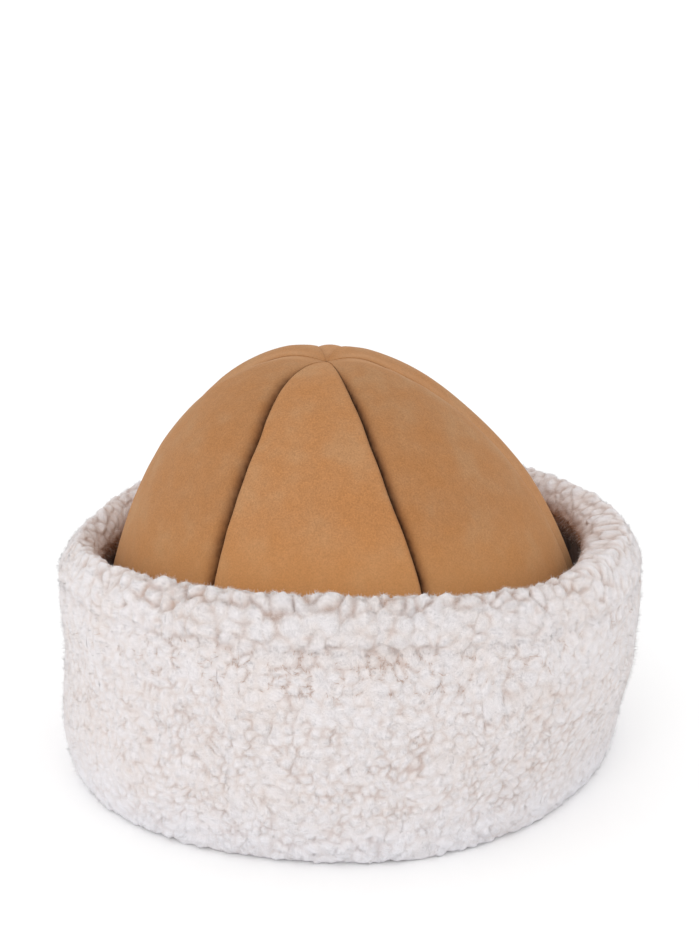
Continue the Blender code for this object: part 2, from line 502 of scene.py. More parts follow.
@dataclass(frozen=True)
class WoolPile:
    """The curly clipped pile of the cuff, as rows of tufts on its unrolled surface.

    Lengths are in millimetres. A layer of noise is its cell, its strength and its seed.

    Attributes:
        turn: Length of one turn.
        whole: Length of the whole section.
        parting: Where the parting under the rim lies along the section.
        bands: The rows of tufts.
        jitter: How far a tuft lies off its even place, in tufts.
        size_spread: How far the tufts' heights differ.
        lean_spread: How far they lean at random around the hat.
        lean_along: Their random lean along the section, as a share of that.
        held: How far an upright tuft's strands are held upright, from 0 to 1.
        search: How far outside its stretch a tuft is still found, in tufts.
        crevice: How far from a crevice a tuft has its full height, in tufts.
        steepness: How steeply it rises from there.
        blend: Width of the soft line between two tufts, in tufts.
        side_calm: Share of the relief that is lost at the sides of the hat.
        sides: The relief falls off between these angles from the front or the back.
        side_closes: How far the crevices close with it.
        bends: Layers that shift places one after the other, so that no row runs straight.
        depths: Layers that open and close the crevices.
        open_range: The least and the most that a crevice is open.
        lumps: Layers of small lumps on the tufts, as shares of their relief.
        swell: Layer of wide low swellings.
        zero_level: Height in a tuft that lies on the cuff's even outline, from 0 to 1.
        wander: Layer that the parting wanders along by.
        waves_reach: How far from the parting the rows follow it.
        parting_breaks: Layer that breaks the parting up.
        parting_share: How much of the parting shows on the whole.
        parting_wide: Half its width.
        parting_sunk: Its depth.
        parting_dark: How far it darkens the pile's colour there, partly for the skin that shows in
            the parting and partly as painted shade in its groove.
        parting_fades: It fades out between these angles from the front or the back.
        whirl: How far the strands turn into a curl, in radians.
        combed: How far they are all combed one way.
        pulled: How far an upright tuft's strands are pulled along the section.
        splay: How far a tuft's strands spread towards its tip.
        apart: How far apart two tufts' strands lie, so that no tuft repeats the one beside it.
        sense_step: Angle from one tuft to the next, whose sine gives the sense of its curl.
        seed: Which pile it is.
    """

    turn: float
    whole: float
    parting: float
    bands: tuple[TuftBand, ...] = (
        TuftBand(0.0, 13.0, 4.8, 4.4, 1.4, -0.4, 0.2, 0.40),
        TuftBand(13.0, 57.0, 3.8, 3.7, 1.25, 0.0, 0.15, 0.45),
        TuftBand(57.0, 79.0, 4.4, 4.3, 1.15, 0.3, 0.2, 0.39),
        TuftBand(79.0, 94.0, 5.8, 5.4, 1.45, 0.4, 0.3, 0.40),
        TuftBand(94.0, 107.0, 6.6, 7.2, 2.4, 0.4, 0.5, 0.72),
        TuftBand(107.0, 123.0, 5.6, 6.0, 1.7, 0.3, 0.6, 0.55),
        TuftBand(123.0, 190.0, 5.6, 6.7, 1.1, 0.0, 0.4, 0.45),
        TuftBand(190.0, 222.6, 6.2, 6.6, 0.8, 0.0, 0.4, 0.40),
    )
    jitter: float = 0.40
    size_spread: float = 0.25
    lean_spread: float = 0.8
    lean_along: float = 0.6
    held: float = 0.85
    search: float = 1.4
    crevice: float = 0.92
    steepness: float = 1.95
    blend: float = 0.085
    side_calm: float = 0.34
    sides: tuple[float, float] = (32.0, 68.0)
    side_closes: float = 0.5
    bends: tuple[Layer, ...] = ((17.0, 2.6, 1), (6.5, 1.0, 3), (2.9, 0.34, 5), (1.5, 0.2, 7))
    depths: tuple[Layer, ...] = ((8.0, 0.08, 20), (3.4, 0.28, 21))
    open_range: tuple[float, float] = (0.05, 0.90)
    lumps: tuple[Layer, ...] = ((2.4, 0.26, 22), (1.5, 0.156, 26))
    swell: Layer = (26.0, 0.25, 23)
    zero_level: float = 0.80
    wander: Layer = (22.0, 3.6, 24)
    waves_reach: float = 16.0
    parting_breaks: Layer = (12.0, 0.75, 25)
    parting_share: float = 0.45
    parting_wide: float = 3.4
    parting_sunk: float = 0.34
    parting_dark: float = 0.32
    parting_fades: tuple[float, float] = (12.0, 40.0)
    whirl: float = 0.9
    combed: float = 0.6
    pulled: float = 1.6
    splay: float = 0.03
    apart: float = 3.7
    sense_step: float = 12.9
    seed: int = 11

    def noise(self, around: Array, along: Array, *layers: Layer) -> Array:
        """Adds layers of noise up at each place.

        Args:
            around: Places around the hat.
            along: Places along the section.
            layers: The layers.

        Returns:
            Their sum.
        """
        return sum(
            strength * UnrolledNoise(self.turn, cell, self.seed + seed)(around, along)
            for cell, strength, seed in layers
        )

    def parting_wave(self, around: Array) -> Array:
        """How far the parting under the rim strays from its even height."""
        return self.noise(around, 0.0 * around, self.wander)

    def warped(self, around: Array, along: Array) -> tuple[Array, Array]:
        """Bends the rows of tufts, so that no row runs straight.

        Args:
            around: Places around the hat.
            along: Places along the section.

        Returns:
            Both, shifted by a few millimetres at most.
        """
        near = np.exp(-(((along - self.parting) / self.waves_reach) ** 2))
        along = along - near * self.parting_wave(around)
        for cell, shift, seed in self.bends:
            over = self.noise(around, along, (cell, shift, seed))
            up = self.noise(around, along, (cell, shift, seed + 1))
            around, along = around + over, along + up
        return around, along

    def planted(self, band: TuftBand, rng: np.random.Generator) -> dict[str, Array]:
        """Plants the tufts of one band, each a little off its even place.

        Args:
            band: The band.
            rng: Where the chance comes from.

        Returns:
            What there is to know of each tuft: its place, leans, size and strand angle, and what
            it has from its band.
        """
        rows, columns, tall, wide = band.grid(self.turn)
        row, column = (part.ravel() for part in np.indices((rows, columns)))
        sway = rng.uniform(-self.jitter, self.jitter, (2, rows * columns))
        size = 1.0 + rng.uniform(-self.size_spread, self.size_spread, rows * columns)
        leans = rng.uniform(-self.lean_spread, self.lean_spread, (2, rows * columns))
        angle = rng.uniform(-1.0, 1.0, rows * columns) * math.pi
        return {
            "around": (column + 0.5 * (row % 2) + 0.5 + sway[0]) * wide,
            "along": band.start + (row + 0.5 + sway[1] * (rows > 1)) * tall,
            "lean_around": leans[0],
            "lean_along": leans[1],
            "size": size,
            "angle": angle * (1.0 - self.held * band.upright),
            **{
                name: np.full(rows * columns, getattr(band, name))
                for name in ("relief", "lean", "upright", "parted")
            },
        }

    def nearest(self, around: Array, along: Array) -> tuple[Array, Array, dict[str, Array]]:
        """Finds the two tufts nearest to each place, each measured by its own width and length.

        Args:
            around: Places around the hat.
            along: Places along the section.

        Returns:
            The two distances, the two tufts' numbers, and what there is to know of every tuft.
        """
        rng = np.random.default_rng(self.seed)
        distance = np.full((2, len(around)), np.inf)
        chosen = np.zeros((2, len(around)), int)
        beds, first = [], 0
        for band in self.bands:
            rows, columns, tall, wide = band.grid(self.turn)
            beds.append(self.planted(band, rng))
            reach = self.search * tall
            up = (along - band.start + reach) % self.whole - reach
            near = np.flatnonzero(up < band.end - band.start + reach)
            own_row = np.floor(up[near] / tall).astype(int)
            for down in NEIGHBOURS:
                real = (own_row + down >= 0) & (own_row + down < rows)
                who, row = near[real], own_row[real] + down
                own_column = np.floor(around[who] / wide - 0.5 * (row % 2)).astype(int)
                for over in NEIGHBOURS:
                    pick = row * columns + (own_column + over) % columns
                    across = short_way(around[who] - beds[-1]["around"][pick], self.turn)
                    above = up[who] + band.start - beds[-1]["along"][pick]
                    gap = np.hypot(across / wide, above / tall)
                    nearer = gap < distance[0, who]
                    second = (gap < distance[1, who]) & ~nearer
                    for kept in (distance, chosen):
                        kept[1, who[nearer]] = kept[0, who[nearer]]
                    for rank, found in enumerate((nearer, second)):
                        distance[rank, who[found]] = gap[found]
                        chosen[rank, who[found]] = first + pick[found]
            first += rows * columns
        tufts = {name: np.concatenate([bed[name] for bed in beds]) for name in beds[0]}
        return distance, chosen, tufts

    def trace(self, around: Array, along: Array) -> TuftTrace:
        """Works out what the tufts do to each place.

        Args:
            around: Places around the hat.
            along: Places along the section.

        Returns:
            How each place stands out and leans, and what its finish and its strands need to know.
        """
        over, up = self.warped(around, along)
        distance, chosen, tufts = self.nearest(over, up)
        edge = distance[1] - distance[0]
        # Near the line between two tufts a place has a share of both, so no step shows there.
        share = np.exp(-edge / self.blend)
        weight = np.stack([1.0 / (1.0 + share), share / (1.0 + share)])
        both = {name: (values[chosen] * weight).sum(axis=0) for name, values in tufts.items()}
        soft_edge = np.hypot(edge, self.blend) - self.blend
        rounded = 1.0 - (1.0 - np.minimum(1.0, soft_edge / self.crevice)) ** self.steepness
        side = np.abs(short_way(around / self.turn * 360.0, 180.0))
        calm = 1.0 - self.side_calm * smooth_step(*self.sides, side)
        opened = np.clip(both["parted"] + self.noise(around, along, *self.depths), *self.open_range)
        opened = opened * (1.0 - self.side_closes * (1.0 - calm))
        pile = 1.0 - (1.0 - rounded) * opened
        level = both["size"] * pile - self.zero_level + self.noise(over, up, *self.lumps)
        stand = both["relief"] * level * calm + self.noise(around, along, self.swell)
        from_parting = (along - self.parting - self.parting_wave(around)) / self.parting_wide
        broken = self.parting_share + self.noise(around, along, self.parting_breaks)
        line = np.exp(-(from_parting**2)) * np.clip(broken, 0.0, 1.0)
        line = line * (1.0 - smooth_step(*self.parting_fades, side))
        stand = stand - self.parting_sunk * line
        # The parting's darker colour is partly the skin showing there and partly painted shade of
        # the groove.
        pile = pile * (1.0 - self.parting_dark * line)
        strand, lie = self.combed_strands(over, up, chosen[0], tufts, both["upright"])
        return TuftTrace(
            stand=stand,
            lean_around=both["lean_around"] * pile,
            lean_along=(both["lean_along"] * self.lean_along + both["lean"]) * pile,
            pile=pile,
            strand=strand,
            lie=lie,
        )

    def combed_strands(
        self, over: Array, up: Array, own: Array, tufts: dict[str, Array], upright: Array
    ) -> tuple[Array, Array]:
        """Finds how each place's strands run.

        Args:
            over: Places around the hat, after the bends.
            up: Places along the section, after the bends.
            own: The number of each place's own tuft.
            tufts: What there is to know of every tuft.
            upright: How far the strands run along the section.

        Returns:
            The place across and along its tuft's strands with the tuft's own number, and which way
            the strands lie.
        """
        across = short_way(over - tufts["around"][own], self.turn)
        forwards = short_way(up - tufts["along"][own], self.whole)
        turned, lying = np.cos(tufts["angle"][own]), np.sin(tufts["angle"][own])
        beside = across * turned + forwards * lying
        ahead = forwards * turned - across * lying
        strand = np.column_stack((beside * (1.0 + self.splay * ahead), ahead, own * self.apart))
        sense = np.sign(np.sin(own * self.sense_step))
        whirl = np.arctan2(forwards, across) + self.whirl * sense
        curl = np.column_stack(
            (np.cos(whirl) - self.combed * lying, np.sin(whirl) + self.combed * turned)
        )
        straight = np.array([0.0, self.pulled])
        return strand, curl * (1.0 - upright)[:, None] + straight * upright[:, None]


def add_node(
    tree: bpy.types.NodeTree,
    kind: str,
    inputs: dict | None = None,
    stops: tuple[tuple[float, str], ...] = (),
    **settings: object,
) -> bpy.types.Node:
    """Adds a node with its settings, values and links.

    Args:
        tree: The material's or world's nodes.
        kind: The node's type name.
        inputs: A value or another node's output for each input, by name or number.
        stops: Place and sRGB colour of each stop, where the node has a colour ramp.
        settings: The node's own settings.

    Returns:
        The node.
    """
    node = tree.nodes.new(kind)
    for name, value in settings.items():
        setattr(node, name, value)
    for key, value in (inputs or {}).items():
        if isinstance(value, bpy.types.NodeSocket):
            tree.links.new(value, node.inputs[key])
        else:
            node.inputs[key].default_value = value
    for i, (place, colour) in enumerate(stops):
        elements = node.color_ramp.elements
        element = elements[i] if i < len(elements) else elements.new(place)
        element.position, element.color = place, linear(colour)
    return node


def new_material(
    name: str, values: dict[str, object]
) -> tuple[bpy.types.Material, bpy.types.NodeTree, bpy.types.Node]:
    """Starts a material.

    Args:
        name: The material's name.
        values: What is the same all over it, by the name of the shader's own socket.

    Returns:
        The material, its nodes and its Principled shader.
    """
    made = bpy.data.materials.new(name)
    made.use_nodes = True
    shader = made.node_tree.nodes["Principled BSDF"]
    for key, value in values.items():
        shader.inputs[key].default_value = value
    return made, made.node_tree, shader


@dataclass(frozen=True)
class BrushedSuede:
    """Tanned sheepskin, flesh side out, brushed to a short nap.

    The eye sees an even matte tan with a fine grain, slightly cloudy where the nap lies one way or
    the other, and a soft bloom at grazing angles. On it are painted a warm glow of light bounced
    off the fleece at its foot, a painted highlight along the ridges of the soft seams, and painted
    shade down in the seams.

    Attributes:
        clouds: Place and colour of each tone of the clouds.
        cuff_bounce: Colour of the painted warm light bounced off the fleece onto the foot.
        painted_light: Colour of the painted highlight along the ridge of a seam's edge.
        seam: Colour of the painted shade down in a seam.
        bloom: Colour of the nap at grazing angles.
        cloud_mm: Size of the clouds.
        fleck_mm: Size of the flecks.
        grain_mm: Size of the grain. The real nap's is about 0.1 mm, too fine to show, so it is
            drawn coarser.
        grain_depth: Depth of the grain's bump in metres.
        grain_share: How much of that bump shows.
        flecks: How dark and how light the flecks are.
        grains: How dark and how light the grain is.
        ragged: How far the flecks break the painted shade of a seam up.
        ragging: The flecks' values between which they do so.
        bounce_fades: The painted bounced light fades in between these heights.
        front_fades: It fades in between these places along y.
        bounce_shares: How strong the painted bounced light is behind the first of them and before
            the second.
    """

    clouds: tuple[tuple[float, str], ...] = ((0.34, "AE7849"), (0.52, "AE7B4F"), (0.68, "AF8158"))
    # Painted warm light, bounced off the fleece onto the suede's foot.
    cuff_bounce: str = "E3A566"
    # Painted highlight along the ridges of the soft seams.
    painted_light: str = "D0A37C"
    # Painted shade down in the seams.
    seam: str = "4A2206"
    bloom: str = "F0CFA8"
    cloud_mm: float = 16.0
    fleck_mm: float = 2.4
    grain_mm: float = 0.60
    grain_depth: float = 0.0003
    grain_share: float = 0.35
    flecks: tuple[float, float] = (0.955, 1.045)
    grains: tuple[float, float] = (0.86, 1.13)
    ragged: tuple[float, float] = (0.70, 1.25)
    ragging: tuple[float, float] = (0.35, 0.65)
    bounce_fades: tuple[float, float] = (0.118, 0.084)
    front_fades: tuple[float, float] = (-0.035, -0.085)
    bounce_shares: tuple[float, float] = (0.15, 0.38)

    def make(self) -> bpy.types.Material:
        """Makes its clouds, its fine grain, its painted bounced light at the foot, its painted
        highlights on seam ridges and its painted shade in the seams.

        Returns:
            The material.
        """
        made, tree, shader = new_material(
            "brushed_tan_suede",
            {
                "Roughness": 0.92,
                "Specular IOR Level": 0.2,
                "Sheen Weight": 0.18,
                "Sheen Roughness": 0.55,
                "Sheen Tint": linear(self.bloom),
            },
        )
        place = add_node(tree, "ShaderNodeTexCoord").outputs["Object"]
        spot = add_node(tree, "ShaderNodeSeparateXYZ", {"Vector": place}).outputs
        seam, edge_highlight, tone = (
            add_node(tree, "ShaderNodeAttribute", attribute_name=name).outputs
            for name in ("seam_shade", "edge_highlight", "gore_tone_and_shade")
        )
        cloud, fleck, grain = (
            add_node(
                tree,
                "ShaderNodeTexNoise",
                {"Vector": place, "Scale": 1.0 / (size * MM), "Detail": detail, "Roughness": 0.6},
            ).outputs["Fac"]
            for size, detail in ((self.cloud_mm, 2.0), (self.fleck_mm, 3.0), (self.grain_mm, 2.0))
        )
        flecks, grains, ragged, front, low = (
            add_node(
                tree,
                "ShaderNodeMapRange",
                dict(zip(RANGE_INPUTS, (value, *start, *end))),
                interpolation_type=curve,
            ).outputs["Result"]
            for value, start, end, curve in (
                (fleck, NOISE_RANGE, self.flecks, "LINEAR"),
                (grain, NOISE_RANGE, self.grains, "LINEAR"),
                (fleck, self.ragging, self.ragged, "LINEAR"),
                (spot["Y"], self.front_fades, self.bounce_shares, "LINEAR"),
                (spot["Z"], self.bounce_fades, (0.0, 1.0), "SMOOTHSTEP"),
            )
        )
        # Shares of the painted bounced light at the foot and of the painted shade down in the
        # seams.
        bounced, dark = (
            add_node(
                tree,
                "ShaderNodeMath",
                {0: first, 1: second},
                operation="MULTIPLY",
                use_clamp=True,
            ).outputs["Value"]
            for first, second in ((low, front), (seam["Fac"], ragged))
        )
        body = add_node(tree, "ShaderNodeValToRGB", {"Fac": cloud}, self.clouds).outputs["Color"]
        for share, colour, way in (
            (1.0, flecks, "MULTIPLY"),
            (1.0, grains, "MULTIPLY"),
            # Each gore's tone, with painted shade on the gores beside the front one and towards the
            # top.
            (1.0, tone["Color"], "MULTIPLY"),
            # Painted warm light bounced off the fleece, at the foot.
            (bounced, linear(self.cuff_bounce), "MIX"),
            # Painted highlight along the seam ridges.
            (edge_highlight["Fac"], linear(self.painted_light), "MIX"),
            # Painted shade down in the seams.
            (dark, linear(self.seam), "MIX"),
        ):
            body = add_node(
                tree,
                "ShaderNodeMix",
                {"Factor": share, "A": body, "B": colour},
                data_type="RGBA",
                blend_type=way,
            ).outputs["Result"]
        nap = add_node(
            tree,
            "ShaderNodeBump",
            {"Height": grain, "Strength": self.grain_share, "Distance": self.grain_depth},
        )
        tree.links.new(body, shader.inputs["Base Color"])
        tree.links.new(nap.outputs["Normal"], shader.inputs["Normal"])
        return made


@dataclass(frozen=True)
class ClippedWool:
    """Cream wool of a sheepskin, clipped to an even curly pile.

    The eye sees soft lumps of fine strands, nearly white on top, with pinkish tan skin and wool
    grease showing dimly in the crevices, and no gloss.

    Attributes:
        piles: Place and colour of each tone, from the skin in a crevice to a tuft's tip.
        trough_shades: Place and colour of each tone of the painted shade down in the trough, from
            none to the darkest, brown from light bounced off the suede.
        yellowed: Tint of the yellowed patches.
        foot: Lighter, bluish colour painted on the wool that the hat rests on, as painted light
            from the floor.
        strand_mm: Width of the strands. Real ones are about 0.03 mm, too fine to show, so they
            are drawn coarser, as are the two sizes below.
        strand_length_mm: Length of the strands.
        fuzz_mm: Size of the fuzz.
        patch_mm: Size of the yellowed patches.
        strand_depth: Depth of the strands' bump in metres.
        fuzz_depth: Depth of the fuzz.
        strand_share: How much of the strands' bump shows.
        fuzz_share: How much of the fuzz shows.
        patched: The patches' values between which the wool yellows.
        yellowing: The least and the most that a patch is yellowed.
        streaks: How dark and how light the strands are.
        bounce_fades: The painted light at the foot fades in between these heights.
        bounce_share: How strong it is at most.
    """

    piles: tuple[tuple[float, str], ...] = (
        (0.10, "BDA497"),
        (0.38, "D0C2BD"),
        (0.64, "E0D8D6"),
        (0.92, "E4DFE0"),
    )
    # Painted shade down in the trough, brown from light bounced off the suede.
    trough_shades: tuple[tuple[float, str], ...] = ((0.0, "FFFFFF"), (0.45, "B58A6C"), (1.0, "3E2414"))
    yellowed: str = "F6ECE2"
    # Painted light from the floor, lighter and bluer, on the wool's foot.
    foot: str = "E8E9F0"
    strand_mm: float = 0.45
    strand_length_mm: float = 4.0
    fuzz_mm: float = 0.5
    patch_mm: float = 22.0
    strand_depth: float = 0.0003
    fuzz_depth: float = 0.0005
    strand_share: float = 0.2
    fuzz_share: float = 0.9
    patched: tuple[float, float] = (0.48, 0.72)
    yellowing: tuple[float, float] = (0.0, 0.3)
    streaks: tuple[float, float] = (0.94, 1.04)
    bounce_fades: tuple[float, float] = (0.024, 0.004)
    bounce_share: float = 0.5

    def make(self) -> bpy.types.Material:
        """Makes its crevices, its yellowed patches and its fine strands.

        Returns:
            The material.
        """
        made, tree, shader = new_material(
            "clipped_cream_wool",
            {
                "Roughness": 0.95,
                "Specular IOR Level": 0.12,
                "Sheen Weight": 0.15,
                "Sheen Roughness": 0.6,
            },
        )
        place = add_node(tree, "ShaderNodeTexCoord").outputs["Object"]
        height = add_node(tree, "ShaderNodeSeparateXYZ", {"Vector": place}).outputs["Z"]
        pile, strand, painted_light = (
            add_node(tree, "ShaderNodeAttribute", attribute_name=name).outputs
            for name in ("pile", "strand", "painted_light")
        )
        fineness = (1.0 / self.strand_mm, 1.0 / self.strand_length_mm, 1.0)
        drawn = add_node(
            tree, "ShaderNodeMapping", {"Vector": strand["Vector"], "Scale": fineness}
        )
        strands, fuzz, patch = (
            add_node(
                tree, "ShaderNodeTexNoise", {"Vector": vector, "Scale": scale, "Detail": 2.0}
            ).outputs["Fac"]
            for vector, scale in (
                (drawn.outputs["Vector"], 1.0),
                (place, 1.0 / (self.fuzz_mm * MM)),
                (place, 1.0 / (self.patch_mm * MM)),
            )
        )
        yellow, streak, low = (
            add_node(
                tree, "ShaderNodeMapRange", dict(zip(RANGE_INPUTS, (value, *start, *end)))
            ).outputs["Result"]
            for value, start, end in (
                (patch, self.patched, self.yellowing),
                (strands, NOISE_RANGE, self.streaks),
                (height, self.bounce_fades, (0.0, self.bounce_share)),
            )
        )
        body, trough_shade = (
            add_node(tree, "ShaderNodeValToRGB", {"Fac": value}, stops).outputs["Color"]
            for value, stops in ((pile["Fac"], self.piles), (painted_light["Fac"], self.trough_shades))
        )
        for share, tint, way in (
            # Painted light at the foot.
            (low, linear(self.foot), "MIX"),
            (yellow, linear(self.yellowed), "MULTIPLY"),
            # Painted shade down in the trough.
            (1.0, trough_shade, "MULTIPLY"),
            (1.0, streak, "MULTIPLY"),
        ):
            body = add_node(
                tree,
                "ShaderNodeMix",
                {"Factor": share, "A": body, "B": tint},
                data_type="RGBA",
                blend_type=way,
            ).outputs["Result"]
        tree.links.new(body, shader.inputs["Base Color"])
        rough = {}
        for relief, strength, depth in (
            (strands, self.strand_share, self.strand_depth),
            (fuzz, self.fuzz_share, self.fuzz_depth),
        ):
            bump = {"Height": relief, "Strength": strength, "Distance": depth, **rough}
            rough = {"Normal": add_node(tree, "ShaderNodeBump", bump).outputs["Normal"]}
        tree.links.new(rough["Normal"], shader.inputs["Normal"])
        return made


@dataclass(frozen=True)
class LooseWoolStrands:
    """Strands that stand off the pile: bright and matte, each a little lighter or darker.

    The eye sees them darken from the tip to the root, where they go down into the pile, and
    among them a few short coarse brown ones, which is kemp.

    Attributes:
        tones: Place and colour of each tone: kemp, and a strand's root, side and tip.
    """

    tones: tuple[tuple[float, str], ...] = (
        (0.0, "B48E78"),
        (0.02, "D5C8C3"),
        (0.45, "E4DDDB"),
        (0.90, "ECE8E9"),
    )

    def make(self) -> bpy.types.Material:
        """Makes its tones, which it reads from the strands' mesh.

        Returns:
            The material.
        """
        made, tree, shader = new_material(
            "loose_wool_strands",
            {"Roughness": 0.95, "Specular IOR Level": 0.1, "Sheen Weight": 0.2},
        )
        tone = add_node(tree, "ShaderNodeAttribute", attribute_name="tone").outputs["Fac"]
        body = add_node(tree, "ShaderNodeValToRGB", {"Fac": tone}, self.tones)
        tree.links.new(body.outputs["Color"], shader.inputs["Base Color"])
        return made


def read(items: bpy.types.bpy_prop_collection, key: str, size: int, kind: type) -> Array:
    """Reads one property of every item of a mesh.

    Args:
        items: The mesh's points, edges or attribute values.
        key: The property.
        size: How many numbers it has.
        kind: Their type.

    Returns:
        One number for each item, or one row of them.
    """
    values = np.zeros(size * len(items), kind)
    items.foreach_get(key, values)
    return values if size == 1 else values.reshape(-1, size)


def rolled_grid(
    name: str, columns: int, rows: int, closed: bool
) -> tuple[bpy.types.Mesh, Array, Array]:
    """Rolls a grid into a ring of tube, or into a ball with a pole at its first and last row.

    The caller puts its points where they belong, and keeps the sense in which they turn.

    Args:
        name: The mesh's name.
        columns: How many columns go round the hat.
        rows: How many rows go along its section.
        closed: Whether the section closes on itself, as a ring of tube's does.

    Returns:
        The mesh, with its faces outwards, and the column and the row of each point.
    """
    mesh = bmesh.new()
    bmesh.ops.create_grid(mesh, x_segments=columns, y_segments=rows, size=0.5)
    layers = [mesh.verts.layers.int.new(key) for key in ("column", "row")]
    for vert in mesh.verts:
        column = round((vert.co.x + 0.5) * columns) % columns
        row = round((vert.co.y + 0.5) * rows)
        row = row % rows if closed else row
        vert[layers[0]], vert[layers[1]] = column, row
        turn, share = 2.0 * math.pi * column / columns, row / rows
        bend = (2.0 * share - 0.5) * math.pi if closed else (0.5 - share) * math.pi
        radius = (2.0 if closed else 0.0) + math.cos(bend)
        vert.co = (radius * math.sin(turn), -radius * math.cos(turn), math.sin(bend))
    bmesh.ops.remove_doubles(mesh, verts=mesh.verts, dist=1e-6)
    bmesh.ops.recalc_face_normals(mesh, faces=mesh.faces)
    data = bpy.data.meshes.new(name)
    mesh.to_mesh(data)
    mesh.free()
    return data, *(read(data.attributes[key].data, "value", 1, int) for key in ("column", "row"))


def add_attribute(data: bpy.types.Mesh, name: str, values: Array) -> None:
    """Gives each point of a mesh a number or a vector that its finish reads.

    Args:
        data: The mesh.
        name: The attribute's name.
        values: One number or one vector for each point.
    """
    kind, key = ("FLOAT", "value") if values.ndim == 1 else ("FLOAT_VECTOR", "vector")
    made = data.attributes.new(name, kind, "POINT")
    made.data.foreach_set(key, values.astype(np.float32).ravel())


def dressed(
    data: bpy.types.Mesh, material: bpy.types.Material, slot: str, *nodes: str
) -> bpy.types.Object:
    """Puts a finished mesh in the scene as a piece of the hat.

    Args:
        data: The mesh, already in place.
        material: Its finish.
        slot: Not used.
        nodes: The CAD nodes that it stands for.

    Returns:
        The piece.
    """
    data.materials.append(material)
    data.shade_smooth()
    piece = bpy.data.objects.new(data.name, data)
    bpy.context.scene.collection.objects.link(piece)
    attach(piece, "root")
    if nodes:
        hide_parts(*nodes)
    data.calc_loop_triangles()
    log.info("%s: %d triangles", piece.name, len(data.loop_triangles))
    return piece


class SeamEdge(Enum):
    """How the long edge of a gore meets its seam.

    Attributes:
        reach: Distance from the seam at which the edge has risen.
        power: How steeply it rises at the seam.
        roundness: How full its curve is, fuller below 1.
        shoulder: How far the gore still has to rise behind the edge, in metres.
        shade_reach: How far the painted shade of the seam reaches up the edge, in metres.
    """

    CRISP = (0.0034, 3.0, 0.5, 0.0009, 0.0005)
    ROLLED = (0.0038, 2.6, 0.8, 0.0003, 0.0012)
    TUCKED = (0.0032, 2.6, 0.7, 0.0005, 0.0010)
    SOFT = (0.0130, 2.2, 1.0, 0.0, 0.0004)

    def __init__(
        self, reach: float, power: float, roundness: float, shoulder: float, shade_reach: float
    ) -> None:
        """Names the edge's measures, which the class describes."""
        self.reach, self.power, self.roundness = reach, power, roundness
        self.shoulder, self.shade_reach = shoulder, shade_reach

    def rise(self, from_seam: Array, width: Array) -> Array:
        """How far the edge has risen at a distance from its seam, from 0 to 1."""
        share = np.minimum(1.0, from_seam / np.minimum(self.reach, width / 2))
        return (1.0 - (1.0 - share) ** self.power) ** self.roundness


class SeamTurn(Enum):
    """The heights between which a seam turns from its foot's azimuth to its top's."""

    LATE = (0.0880, 0.1420)
    LONG = (0.0300, 0.1630)


@dataclass(frozen=True)
class CrownSeam:
    """A seam between two gores, from the crown's foot to its tip.

    Attributes:
        foot: Azimuth of its foot, in degrees.
        top: Azimuth that it keeps near the tip.
        sunk: How deep it lies under the crown's even outline.
        before: How the gore at its lower azimuth meets it.
        after: How the gore at its higher azimuth meets it.
        edge_highlight: How strong the painted highlight along its edges is, from 0 to 1.
        seed: Which slight wander it has.
        tip_bend: Degrees that it turns on towards the tip.
        turn: Where it turns from its foot's azimuth to its top's.
        bend_reach: It bends towards the tip from the second of these radii to the first.
        wander: How far it strays from its line.
        wander_cell: Length of one stray.
        steady: It strays less from the second of these radii to the first.
    """

    foot: float
    top: float
    sunk: float
    before: SeamEdge
    after: SeamEdge
    edge_highlight: float
    seed: int
    tip_bend: float = 0.0
    turn: SeamTurn = SeamTurn.LATE
    bend_reach: tuple[float, float] = (0.014, 0.060)
    wander: float = 0.0003
    wander_cell: float = 0.013
    steady: tuple[float, float] = (0.010, 0.030)

    def azimuth(self, up: Array, radius: Array, height: Array) -> Array:
        """Finds the seam.

        Args:
            up: Lengths up the crown.
            radius: The crown's radius there.
            height: Its height there.

        Returns:
            The seam's azimuth at each place.
        """
        stray = UnrolledNoise(1.0, self.wander_cell, self.seed)(0.5 + 0.0 * up, up)
        wander = self.wander * stray * smooth_step(*self.steady, radius)
        wander = wander / np.maximum(radius, self.steady[0])
        turned = smooth_step(*self.turn.value, height)
        bent = self.tip_bend * (1.0 - smooth_step(*self.bend_reach, radius))
        return self.foot + (self.top - self.foot) * turned + bent + np.degrees(wander)


